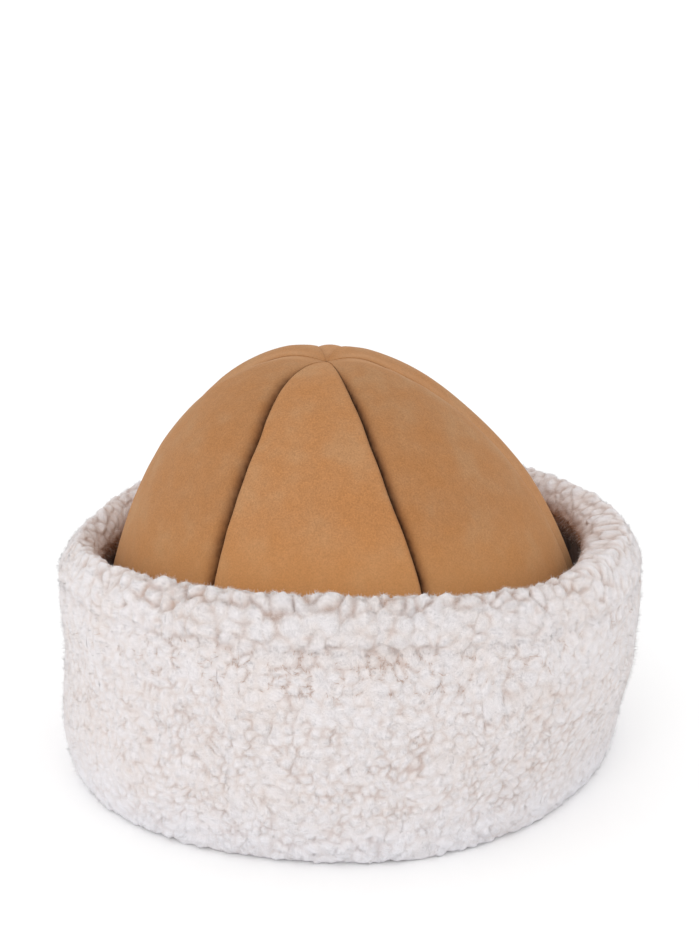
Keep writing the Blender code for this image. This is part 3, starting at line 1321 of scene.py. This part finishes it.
@dataclass(frozen=True)
class SuedeGore:
    """One gore of the crown: a sheepskin panel with its suede outside, sewn at both edges.

    Attributes:
        side: Which gore it is.
        first: Its seam at the lower azimuth.
        second: Its seam at the higher azimuth.
        tone: How light it is drawn, against the front gore. The gores beside the front one are
            drawn darker as painted shade, where they turn from the light.
        seed: Which soft dents and puckers it has.
        crown: The crown that it lies on.
        seam_gap: Width of the gap between two gores.
        thickness: Its own thickness.
        tip_sunk: How deep its tip lies under the crown's even outline.
        tip_rise: How far it has risen from that near the tip, from 0 to 1.
        tip_fades: It reaches that from the second of these radii to the first.
        full_width: It rises fully where it is at least this wide.
        shoulder_reach: How far from a seam its shoulder lies.
        seam_blend: One seam's depth runs into the other's between these shares of its width.
        dent: Depth of its soft dents.
        dent_cell: Size of the dents.
        dents_from: Where in their noise they start.
        dent_clear: They fade out within this distance of a seam.
        calm_width: Dents and puckers fade out where it is narrower than this.
        pucker: Depth of the puckers along a seam.
        pucker_cell: Length of a pucker.
        pucker_stretch: How far puckers are drawn out across the seam, as a share of their length.
        pucker_reach: How far from the seam they reach.
        pucker_clear: They fade out within this distance of it.
        shade_fades: The seams' painted shade fades out from the second of these radii to the first.
        edge_highlight_reach: How far from a seam the painted highlight on its edge lies.
        edge_highlight_fades: The painted highlight fades out from the second of these radii to the
            first.
        top_shade: How much darker the top is drawn, as painted shade.
        top_shaded: It darkens between these heights.
        strips: How many faces it has across.
        rows: How many it has from its foot to its tip.
    """

    side: str
    first: CrownSeam
    second: CrownSeam
    tone: float
    seed: int
    crown: CrownShape = field(default_factory=CrownShape)
    seam_gap: float = 0.0002
    thickness: float = 0.0016
    tip_sunk: float = 0.0056
    tip_rise: float = 0.80
    tip_fades: tuple[float, float] = (0.006, 0.045)
    full_width: float = 0.0300
    shoulder_reach: float = 0.0160
    seam_blend: tuple[float, float] = (0.25, 0.75)
    dent: float = 0.0007
    dent_cell: float = 0.045
    dents_from: float = 0.3
    dent_clear: float = 0.020
    calm_width: float = 0.030
    pucker: float = 0.00035
    pucker_cell: float = 0.0065
    pucker_stretch: float = 0.4
    pucker_reach: float = 0.0070
    pucker_clear: float = 0.002
    shade_fades: tuple[float, float] = (0.006, 0.040)
    edge_highlight_reach: float = 0.0026
    edge_highlight_fades: tuple[float, float] = (0.002, 0.012)
    top_shade: float = 0.06
    top_shaded: tuple[float, float] = (0.105, 0.160)
    strips: int = 36
    rows: int = 90

    def edges(self, across: Array) -> tuple[tuple[CrownSeam, SeamEdge, Array], ...]:
        """Gives each seam, how the gore meets it, and how far away it is as a share."""
        first, second = (self.first, self.first.after), (self.second, self.second.before)
        return (*first, across), (*second, 1.0 - across)

    def depth(self, across: Array, width: Array, up: Array, radius: Array) -> Array:
        """How deep the suede lies under the crown's even outline.

        Args:
            across: Share of the way from the first seam to the second.
            width: The gore's width there.
            up: Length up the gore.
            radius: The crown's radius there.

        Returns:
            The depth at each place.
        """
        rise, sunk = 1.0, 0.0
        near_tip = 1.0 - smooth_step(*self.tip_fades, radius)
        for seam, edge, share in self.edges(across):
            away = share * width
            behind = edge.shoulder / seam.sunk
            behind = behind * (1.0 - smooth_step(0.0, self.shoulder_reach, away))
            rise = rise * edge.rise(away, width) * (1.0 - behind)
            sunk = sunk + seam.sunk * (1.0 - smooth_step(*self.seam_blend, share))
        rise = rise + (self.tip_rise - rise) * near_tip
        sunk = sunk + (self.tip_sunk - sunk) * near_tip
        narrow = 1.0 - np.minimum(1.0, width / self.full_width)
        from_seam = np.minimum(across, 1.0 - across) * width
        dents = UnrolledNoise(1.0, self.dent_cell, self.seed)(from_seam + self.dents_from, up)
        dents = self.dent * dents * smooth_step(0.0, self.dent_clear, from_seam)
        pucker_noise = UnrolledNoise(1.0, self.pucker_cell, self.seed + 1)
        puckers = self.pucker * pucker_noise(from_seam * self.pucker_stretch, up)
        puckers = puckers * np.exp(-from_seam / self.pucker_reach)
        puckers = puckers * smooth_step(0.0, self.pucker_clear, from_seam)
        calm = smooth_step(0.0, self.calm_width, width)
        return sunk * (1.0 - rise * (1.0 - narrow**2)) + calm * (dents + puckers)

    def span(self, up: Array, radius: Array, height: Array) -> tuple[Array, Array]:
        """Gives the azimuth of the first seam and the angle to the second, up the gore."""
        start, end = (seam.azimuth(up, radius, height) for seam in (self.first, self.second))
        return start, end - start

    def blank(self) -> tuple[bpy.types.Mesh, Array, Array]:
        """Cuts the gore flat: a grid with a second layer behind it.

        Returns:
            The mesh, each point's place on the grid, and 1 for the points of the suede side.
        """
        mesh = bmesh.new()
        suede_side = mesh.verts.layers.int.new("suede_side")
        bmesh.ops.create_grid(mesh, x_segments=self.strips, y_segments=self.rows, size=0.5)
        for vert in mesh.verts:
            vert[suede_side] = 1
        raised = bmesh.ops.extrude_face_region(mesh, geom=list(mesh.faces), use_keep_orig=True)
        for item in raised["geom"]:
            if isinstance(item, bmesh.types.BMVert):
                item[suede_side] = 0
        bmesh.ops.recalc_face_normals(mesh, faces=mesh.faces)
        data = bpy.data.meshes.new(f"suede_gore_{self.side}")
        mesh.to_mesh(data)
        mesh.free()
        outside = read(data.attributes["suede_side"].data, "value", 1, int)
        return data, read(data.vertices, "co", 3, float), outside

    def build(self, suede: bpy.types.Material) -> bpy.types.Object:
        """Builds the gore and lays it on the crown.

        Args:
            suede: Its finish.

        Returns:
            The piece.
        """
        data, grid, outside = self.blank()
        radii, heights, lengths = self.crown.bands(self.rows)
        band = np.rint((grid[:, 1] + 0.5) * self.rows).astype(int)
        radius, height, up = radii[band], heights[band], lengths[band]
        # The strips get narrower towards both seams, where the edge rises.
        across = 0.5 + 0.5 * np.sin(math.pi * grid[:, 0])
        margin = np.degrees(np.arcsin(np.minimum(0.5, 0.5 * self.seam_gap / radius)))
        start, angle = self.span(up, radius, height)
        azimuth = start + margin + (angle - 2.0 * margin) * across
        width = np.radians(angle) * radius
        depth = self.depth(across, width, up, radius) + self.thickness * (1 - outside)
        point, normal = self.crown.surface(azimuth, radius, height)
        point = self.crown.settled(point - normal * depth[:, None])
        data.vertices.foreach_set("co", point.ravel())
        mesh = bmesh.new()
        mesh.from_mesh(data)
        bmesh.ops.recalc_face_normals(mesh, faces=mesh.faces)
        mesh.to_mesh(data)
        mesh.free()
        shade, edge_highlight = 0.0, 0.0
        for seam, edge, share in self.edges(across):
            # Painted shade down in each seam, less where its edge has a painted highlight.
            shade = shade + (1.0 - seam.edge_highlight) * np.exp(-share * width / edge.shade_reach)
            # Painted highlight along the ridge of a soft seam's edge.
            edge_highlight = edge_highlight + seam.edge_highlight * np.exp(-((share * width / self.edge_highlight_reach - 1.0) ** 2))
        add_attribute(data, "seam_shade", shade * smooth_step(*self.shade_fades, radius) * outside)
        add_attribute(data, "edge_highlight", edge_highlight * smooth_step(*self.edge_highlight_fades, radius) * outside)
        # Painted shade: each gore's own tone, darker on the gores beside the front one, and darker
        # still towards the top.
        tone = self.tone * (1.0 - self.top_shade * smooth_step(*self.top_shaded, point[:, 2]))
        add_attribute(data, "gore_tone_and_shade", tone)
        piece = dressed(data, suede, "suede", f"crown_gore_{self.side}")
        cut = np.radians(self.span(lengths, radii, heights)[1]) * radii
        return piece


@dataclass(frozen=True)
class WoolLining:
    """The wool side of the gores, which lines the head hollow as one even pile.

    Attributes:
        crown: The crown that it lines.
        behind: How far its back lies under the crown's even outline.
        pile: Depth of its pile.
        relief: How far its tufts stand out.
        tuft_mm: Size of a tuft.
        spare_mm: How far its pile runs on beyond its tip.
        parting_mm: Where the pile's parting lies, which is off the lining.
        seed: Which pile it has.
        calm_radius: The tufts fade out within this radius.
        columns: How many faces it has around.
        rows: How many it has from its foot to its tip.
        back_rows: How many its back has.
    """

    crown: CrownShape = field(default_factory=CrownShape)
    behind: float = 0.0070
    pile: float = 0.0010
    relief: float = 0.0012
    tuft_mm: float = 6.0
    spare_mm: float = 60.0
    parting_mm: float = -100.0
    seed: int = 71
    calm_radius: float = 0.020
    columns: int = 200
    rows: int = 80
    back_rows: int = 12

    def build(self, wool: bpy.types.Material, nodes: list[str]) -> bpy.types.Object:
        """Builds the lining as a closed shell, and raises its tufts towards the head.

        Args:
            wool: Its finish.
            nodes: The gores that it lines.

        Returns:
            The piece.
        """
        radii, heights, lengths = self.crown.bands(self.rows)
        lengths = lengths / MM
        hidden = np.linspace(self.rows, 0, self.back_rows + 1).astype(int)
        bands = np.r_[hidden, np.arange(self.rows + 1)]
        data, column, row = rolled_grid("wool_lining", self.columns, len(bands) - 1, closed=False)
        band, inner = bands[row], row > self.back_rows
        radius = np.where((row == 0) | (row == len(bands) - 1), 0.0, radii[band])
        turn = 2.0 * math.pi * self.crown.radius / MM
        tuft = {"wide": self.tuft_mm, "tall": self.tuft_mm, "relief": 1.0, "lean": 0.0}
        cover = TuftBand(0.0, lengths[-1], **tuft, upright=0.3, parted=0.4)
        whole = lengths[-1] + self.spare_mm
        pile = WoolPile(turn, whole, self.parting_mm, bands=(cover,), seed=self.seed)
        tufts = pile.trace(column / self.columns * turn, lengths[band])
        calm = smooth_step(0.0, self.calm_radius, radius)
        depth = self.behind + np.where(inner, self.pile + self.relief * tufts.stand * calm, 0.0)
        even = CrownShape(tip_forward=0.0)
        point, normal = even.surface(column / self.columns * 360.0, radius, heights[band])
        point = self.crown.settled(point - normal * depth[:, None])
        data.vertices.foreach_set("co", point.ravel())
        add_attribute(data, "pile", np.where(inner, tufts.pile, 1.0))
        add_attribute(data, "strand", tufts.strand)
        piece = dressed(data, wool, "fleece", *nodes)
        return piece


@dataclass(frozen=True)
class FleecePanel:
    """One stretch of the cuff's fleece.

    Attributes:
        name: The piece's name.
        start: Corner of the section where it starts.
        end: Corner where it ends.
        columns: Its columns around the hat.
        pitch: Distance between its rows, in millimetres.
        backing: Depth of the wool behind it in metres, where its two ends can't be joined
            straight across the section.
    """

    name: str
    start: str
    end: str
    columns: int
    pitch: float
    backing: float = 0.0


@dataclass(frozen=True)
class GrownPanel:
    """A finished panel, with how its wool grows.

    Attributes:
        piece: The panel.
        lie: Which way the strands lie at each of its points, around and along.
        pile: How far up a tuft each point is, or -1 at the back.
        along: Where each point is along the section, in millimetres.
    """

    piece: bpy.types.Object
    lie: Array
    pile: Array
    along: Array


@dataclass(frozen=True)
class FleeceCuff:
    """The turned-up cuff: one ring of fleece, wool outside, in panels whose edges meet.

    Attributes:
        shape: The cuff's even outline.
        panels: The panels, one after the other along the section.
        backing_places: Where a panel's backing has its rows, as shares of the panel's length.
        trough: Painted shade darkens the wool between these places, on the way down into the
            trough, in millimetres along the section.
        out_of_trough: The painted shade fades out again between these.
        closer: How much closer the columns are at the front and the back than on the whole.
    """

    shape: CuffShape = field(default_factory=CuffShape)
    panels: tuple[FleecePanel, ...] = (
        FleecePanel("fleece_cuff_wall", "base_outer", "parting", 860, 0.76, 0.004),
        FleecePanel("fleece_cuff_rim", "parting", "inner_shoulder", 860, 0.56, 0.004),
        FleecePanel("fleece_cuff_inside", "inner_shoulder", "whole", 500, 2.0),
    )
    backing_places: tuple[float, ...] = (0.97, 0.75, 0.6, 0.3, 0.03)
    trough: tuple[float, float] = (104.0, 128.0)
    out_of_trough: tuple[float, float] = (185.0, 200.0)
    closer: float = 0.28

    def build_panel(self, panel: FleecePanel, wool: bpy.types.Material) -> GrownPanel:
        """Builds one panel and raises its tufts.

        Args:
            panel: The panel.
            wool: Its finish.

        Returns:
            The panel, with the directions of its strands.
        """
        lengths = self.shape.lengths()
        start, end = lengths[panel.start], lengths[panel.end]
        row_along = np.linspace(start, end, round((end - start) / panel.pitch) + 1)
        front_rows = len(row_along)
        if panel.backing:
            row_along = np.r_[row_along, start + (end - start) * np.array(self.backing_places)]
        data, column, row = rolled_grid(panel.name, panel.columns, len(row_along), closed=True)
        share = column / panel.columns
        share = share - self.closer * np.sin(4.0 * math.pi * share) / (4.0 * math.pi)
        around, along, front = share * self.shape.turn, row_along[row], row < front_rows
        tufts = WoolPile(self.shape.turn, lengths["whole"], lengths["parting"]).trace(around, along)
        place, normal = self.shape.on_section(along + front * tufts.lean_along)
        stand = np.where(front, tufts.stand * MM, -panel.backing)
        azimuth = (around + front * tufts.lean_around) / self.shape.turn * 360.0
        settled = self.shape.settled(azimuth, place + normal * stand[:, None])
        settled[:, 2] = np.maximum(settled[:, 2], 0.0)
        data.vertices.foreach_set("co", settled.ravel())
        first_row, second_row = row[read(data.edges, "vertices", 2, int)].T
        border = (first_row == second_row) & np.isin(first_row, (0, front_rows - 1))
        data.attributes.new("sharp_edge", "BOOLEAN", "EDGE").data.foreach_set("value", border)
        add_attribute(data, "pile", np.where(front, tufts.pile, 1.0))
        add_attribute(data, "strand", tufts.strand)
        # Painted shade, brown from light bounced off the suede, down in the trough between the cuff
        # and the crown.
        deep = smooth_step(*self.trough, along) * (1.0 - smooth_step(*self.out_of_trough, along))
        add_attribute(data, "painted_light", deep * front)
        piece = dressed(data, wool, "fleece", "fleece_cuff")
        return GrownPanel(piece, tufts.lie, np.where(front, tufts.pile, -1.0), along)

    def build(self, wool: bpy.types.Material) -> dict[str, GrownPanel]:
        """Builds every panel of the cuff, and gives each by its name."""
        return {panel.name: self.build_panel(panel, wool) for panel in self.panels}


class Fibre(Enum):
    """What a loose strand is, by its tone in a crevice and on a tuft."""

    WOOL = (0.10, 0.90)
    KEMP = (0.0, 0.0)


@dataclass(frozen=True)
class WoolStrands:
    """Strands of wool that lie on the cuff and stand off it. Lengths are in metres.

    Attributes:
        name: The piece's name.
        panel: The panel of fleece that they grow on.
        stretch: Where they grow along the section, from and to, in millimetres.
        count: How many there are.
        length: Mean length.
        wide: Width at the root.
        lift: How far they stand up from the pile, from 0, lying, to 1, upright.
        stray: How far their directions differ.
        segments: How many straight parts each has.
        fibre: What they are.
        depths: How far down and up the tufts they grow, from 0 in a crevice to 1.
        lowest_root: None grows below this height.
        lowest_point: None hangs lower than this.
        side_share: Share of them that the sides of the hat keep.
        sides: They get fewer between these angles from the front or the back.
        inner_share: Share of them that is kept where the fleece faces the hat's axis.
        inner_from: It faces the axis where its normal leans away from it by less than this.
        length_spread: The shortest and the longest, as shares of the mean.
        lift_spread: The least and the most lifted, as shares of the lift.
        curl: How far the parts of a strand differ in direction.
        scatter: How far a root lies off its point of the fleece.
        rooted: How deep a root sits in the pile.
        rises: How much of its lift a strand has at its root, and how much less in each next part.
        narrows: Share of its width that it loses in each next part.
        flatness: Height of its ridge, as a share of its width.
        tufted: It has the tone of a crevice, and of a tuft, from these points of the pile on.
        tone_spread: How far their tones differ.
        darkest: The darkest tone of wool, because any darker is kemp.
        root_shade: How much darker a strand is along its sides than on the whole.
        tip_light: How much lighter its tip is.
        softness: How far its shading strays from the fleece's.
        roundness: How round it is shaded.
    """

    name: str
    panel: str
    stretch: tuple[float, float]
    count: int
    length: float
    wide: float
    lift: float
    stray: float
    segments: int = 1
    fibre: Fibre = Fibre.WOOL
    depths: tuple[float, float] = (0.15, 1.1)
    lowest_root: float = 0.002
    lowest_point: float = 0.0002
    side_share: float = 0.45
    sides: tuple[float, float] = (26.0, 52.0)
    inner_share: float = 0.5
    inner_from: float = -0.05
    length_spread: tuple[float, float] = (0.55, 1.45)
    lift_spread: tuple[float, float] = (0.3, 1.7)
    curl: float = 0.6
    scatter: float = 0.0004
    rooted: float = 0.00025
    rises: tuple[float, float] = (1.3, 0.9)
    narrows: float = 0.35
    flatness: float = 0.15
    tufted: tuple[float, float] = (0.35, 0.95)
    tone_spread: float = 0.08
    darkest: float = 0.03
    root_shade: float = 0.10
    tip_light: float = 0.12
    softness: float = 0.10
    roundness: float = 0.20

    def chance(self, grown: GrownPanel, points: Array, normals: Array) -> Array:
        """Works out how likely a strand is to grow at each point of a panel.

        Args:
            grown: The panel.
            points: Its points.
            normals: The outward normal at each.

        Returns:
            The chances, which add up to 1.
        """
        inward = (points[:, :2] * normals[:, :2]).sum(axis=1) < self.inner_from
        sideways = np.abs(np.degrees(np.arctan2(points[:, 0], np.abs(points[:, 1]))))
        (low, high), (start, end) = self.depths, self.stretch
        chance = np.where(inward, self.inner_share, 1.0)
        chance = chance * ((grown.pile > low) & (grown.pile < high))
        chance = chance * ((grown.along > start) & (grown.along < end))
        chance = chance * (points[:, 2] > self.lowest_root)
        chance = chance * (1.0 - (1.0 - self.side_share) * smooth_step(*self.sides, sideways))
        return chance / chance.sum()

    def faces(self) -> Array:
        """Lists one strand's triangles: three sides around each part, closed at both ends.

        Returns:
            The three corners of each, by their number in the strand.
        """
        faces = [(2, 1, 0)]
        for i in range(self.segments - 1):
            for k in range(3):
                here, there = 3 * i + k, 3 * i + (k + 1) % 3
                faces += [(there, here + 3, here), (there + 3, here + 3, there)]
        last = 3 * (self.segments - 1)
        return np.array(faces + [(last + (k + 1) % 3, last + 3, last + k) for k in range(3)])

    def tone(self, level: Array, shift: float) -> Array:
        """Lightens or darkens the strands' tones, which stay even on kemp.

        Args:
            level: Each strand's tone.
            shift: How much lighter.

        Returns:
            Each strand's new tone.
        """
        if self.fibre is Fibre.KEMP:
            return np.zeros(self.count)
        return np.clip(level + shift, self.darkest, 1.0)

    def build(self, grown: GrownPanel, finish: bpy.types.Material) -> bpy.types.Object:
        """Grows the strands as one joined mesh.

        Args:
            grown: The panel that they grow on.
            finish: Their finish.

        Returns:
            The piece.
        """
        rng = np.random.default_rng(self.count)
        mesh, one_each = grown.piece.data, (self.count, 1)
        points = read(mesh.vertices, "co", 3, float)
        normals = read(mesh.vertex_normals, "vector", 3, float)
        root = rng.choice(len(points), self.count, p=self.chance(grown, points, normals))
        normal, centre = normals[root], points[root]
        over = placed(azimuth_of(centre) + 90.0, 1.0, 0.0)
        scatter = rng.normal(scale=self.stray, size=(2, self.count))
        around, along = (grown.lie[root] + scatter.T).T[:, :, None]
        heading = over * around + np.cross(normal, over) * along
        heading -= normal * (heading * normal).sum(axis=1)[:, None]
        heading /= np.linalg.norm(heading, axis=1)[:, None]
        beside = np.cross(heading, normal)
        length = self.length * rng.uniform(*self.length_spread, one_each) / self.segments
        lift = self.lift * rng.uniform(*self.lift_spread, one_each)
        curl = rng.normal(scale=self.curl, size=one_each)
        shift = rng.uniform(-self.scatter, self.scatter, (2, *one_each))
        centre = centre + beside * shift[0] + heading * shift[1] - normal * self.rooted
        centre = centre - heading * length * 0.5
        level = np.interp(grown.pile[root], self.tufted, self.fibre.value)
        level = level + self.tone_spread * rng.uniform(-1.0, 1.0, self.count)
        rings = []
        for i in range(self.segments):
            half = 0.5 * self.wide * (1.0 - self.narrows * i)
            ridge = normal * half * self.flatness
            rings += [centre - beside * half, centre + ridge, centre + beside * half]
            rise = lift * (self.rises[0] - self.rises[1] * i)
            step = heading + normal * rise + beside * curl * i
            centre = centre + step / np.linalg.norm(step, axis=1)[:, None] * length
        every = np.stack([*rings, centre], axis=1)
        every[..., 2] = np.maximum(every[..., 2], self.lowest_point)
        apart = every.shape[1] * np.arange(self.count)[:, None, None]
        data = bpy.data.meshes.new(self.name)
        data.from_pydata(every.reshape(-1, 3), [], (self.faces() + apart).reshape(-1, 3))
        data.update()
        sides = [self.tone(level, -self.root_shade)] * len(rings)
        tones = np.stack([*sides, self.tone(level, self.tip_light)], axis=1)
        add_attribute(data, "tone", tones.ravel())
        piece = dressed(data, finish, "fleece")
        soft = normal + self.softness * rng.normal(size=(self.count, 3))
        ring = [soft - beside * self.roundness, soft, soft + beside * self.roundness]
        tip = soft + heading * self.roundness / 2
        shading = np.stack([*ring * self.segments, tip], axis=1)
        shading = shading / np.linalg.norm(shading, axis=2)[..., None]
        data.normals_split_custom_set_from_vertices(shading.reshape(-1, 3))
        return piece


@dataclass(frozen=True)
class Studio:
    """A pale floor, even white light all round, a soft light from the left, and the camera.

    Attributes:
        floor: Colour of the floor.
        floor_radius: Its radius.
        sky: Colour of the light all round.
        sky_strength: Its strength from the side and from above.
        sky_rises: It changes between these shares of the way up.
        key_energy: Power of the soft light in watts.
        key_size: Its size.
        key_at: Its place.
        key_aim: Where it points.
        camera_at: The camera's place.
        camera_pitch: Its angle from looking straight down, in degrees.
        focal: Its focal length, in millimetres.
        sensor: Width of its sensor, in millimetres.
        clip: The nearest and the farthest that it sees.
    """

    floor: str = "FEFEFE"
    floor_radius: float = 6.0
    sky: str = "FFFFFF"
    sky_strength: tuple[float, float] = (1.05, 1.03)
    sky_rises: tuple[float, float] = (0.05, 0.6)
    key_energy: float = 6.0
    key_size: float = 0.9
    key_at: tuple[float, float, float] = (-0.45, -1.5, 1.0)
    key_aim: tuple[float, float, float] = (0.0, 0.0, 0.08)
    camera_at: tuple[float, float, float] = (0.0, -0.5753, 0.2586)
    camera_pitch: float = 76.0
    focal: float = 57.84
    sensor: float = 36.0
    clip: tuple[float, float] = (0.01, 50.0)

    def lay_floor(self) -> None:
        """Lays the floor."""
        mesh = bmesh.new()
        bmesh.ops.create_circle(mesh, cap_ends=True, segments=128, radius=self.floor_radius)
        data = bpy.data.meshes.new("studio_floor")
        mesh.to_mesh(data)
        mesh.free()
        paper, _, _ = new_material(
            "matt_white_paper",
            {"Base Color": linear(self.floor), "Roughness": 1.0, "Specular IOR Level": 0.0},
        )
        data.materials.append(paper)
        floor = bpy.data.objects.new("studio_floor", data)
        bpy.context.scene.collection.objects.link(floor)

    def light(self) -> None:
        """Sets up the light all round and the soft light from the left."""
        world = bpy.data.worlds.new("studio_light")
        world.use_nodes = True
        tree = world.node_tree
        aim = add_node(tree, "ShaderNodeTexCoord").outputs["Generated"]
        height = add_node(tree, "ShaderNodeSeparateXYZ", {"Vector": aim}).outputs["Z"]
        values = (height, *self.sky_rises, *self.sky_strength)
        strength = add_node(tree, "ShaderNodeMapRange", dict(zip(RANGE_INPUTS, values)))
        background = tree.nodes["Background"]
        background.inputs["Color"].default_value = linear(self.sky)
        tree.links.new(strength.outputs["Result"], background.inputs["Strength"])
        bpy.context.scene.world = world
        lamp = bpy.data.lights.new("soft_key", "AREA")
        lamp.energy, lamp.size = self.key_energy, self.key_size
        key = bpy.data.objects.new("soft_key", lamp)
        key.location = self.key_at
        aim = Vector(self.key_aim) - Vector(self.key_at)
        key.rotation_euler = aim.to_track_quat("-Z", "Y").to_euler()
        bpy.context.scene.collection.objects.link(key)

    def set_camera(self) -> None:
        """Sets up the camera where the photograph was taken from."""
        lens = bpy.data.cameras.new("camera")
        lens.lens, lens.sensor_width = self.focal, self.sensor
        lens.clip_start, lens.clip_end = self.clip
        camera = bpy.data.objects.new("camera", lens)
        camera.location = self.camera_at
        camera.rotation_euler = (math.radians(self.camera_pitch), 0.0, 0.0)
        bpy.context.scene.collection.objects.link(camera)
        bpy.context.scene.camera = camera
        bpy.context.scene.view_settings.view_transform = "Standard"

    def build(self) -> None:
        """Builds the floor, the lights and the camera."""
        self.lay_floor()
        self.light()
        self.set_camera()


@dataclass(frozen=True)
class Beanie:
    """The whole hat: six gores from seam to seam, their lining, the cuff and its strands.

    Attributes:
        gores: Which gores there are, from the front one on, and how light each one is drawn; the
            two beside the front one are drawn darker as painted shade.
        seams: The seams between them, from the front gore's left one on.
        strands: The strands that grow on the cuff.
    """

    # The lower tones of the two gores beside the front one are painted shade.
    gores: tuple[tuple[str, float], ...] = (
        ("front", 1.0),
        ("front_right", 0.89),
        ("back_right", 0.93),
        ("back", 0.97),
        ("back_left", 0.92),
        ("front_left", 0.90),
    )
    seams: tuple[CrownSeam, ...] = (
        CrownSeam(-32.1, -29.0, 0.0056, SeamEdge.ROLLED, SeamEdge.CRISP, 0.0, 40, tip_bend=-8.0),
        CrownSeam(20.4, 16.2, 0.0056, SeamEdge.CRISP, SeamEdge.TUCKED, 0.0, 41),
        *(
            # The fourth number of each soft seam is how strong its painted edge highlight is.
            CrownSeam(foot, top, sunk, SeamEdge.SOFT, SeamEdge.SOFT, edge_highlight, seed, turn=SeamTurn.LONG)
            for foot, top, sunk, edge_highlight, seed in (
                (81.0, 82.5, 0.0034, 0.22, 42),
                (147.3, 158.0, 0.0038, 0.10, 43),
                (200.4, 193.0, 0.0038, 0.10, 44),
                (263.3, 262.0, 0.0034, 0.22, 45),
            )
        ),
    )
    strands: tuple[WoolStrands, ...] = (
        *(
            WoolStrands(f"wool_strands_{place}", f"fleece_cuff_{panel}", *sizes)
            for place, panel, *sizes in (
                ("low", "wall", (2.0, 40.0), 15000, 0.0018, 0.00017, 1.1, 0.35),
                ("high", "wall", (40.0, 82.0), 20000, 0.0020, 0.00017, 1.1, 0.35),
                ("rim", "rim", (79.0, 95.0), 14000, 0.0018, 0.00016, 0.9, 0.45),
                ("crest", "rim", (94.0, 110.0), 20000, 0.0015, 0.00014, 0.9, 0.55),
                ("inner", "rim", (110.0, 140.0), 9000, 0.0018, 0.00016, 0.9, 0.45),
            )
        ),
        WoolStrands(
            "kemp_fibres",
            "fleece_cuff_wall",
            (66.0, 90.0),
            900,
            0.0028,
            0.00014,
            0.5,
            0.9,
            segments=2,
            fibre=Fibre.KEMP,
            depths=(-0.1, 0.6),
        ),
    )

    def build(self) -> None:
        """Builds and dresses every piece."""
        suede = BrushedSuede().make()
        wool = ClippedWool().make()
        loose = LooseWoolStrands().make()
        first = self.seams[0]
        seams = [*self.seams, replace(first, foot=first.foot + 360.0, top=first.top + 360.0)]
        for i, (side, tone) in enumerate(self.gores):
            SuedeGore(side, seams[i], seams[i + 1], tone, 100 + 10 * i).build(suede)
        WoolLining().build(wool, [f"crown_gore_{side}" for side, _ in self.gores])
        panels = FleeceCuff().build(wool)
        for strands in self.strands:
            strands.build(panels[strands.panel], loose)


def main() -> None:
    """Builds the studio and the hat, and reports each piece."""
    logging.basicConfig(level=logging.INFO, format="%(name)s: %(message)s")
    Studio().build()
    Beanie().build()


if __name__ == "__main__":
    main()
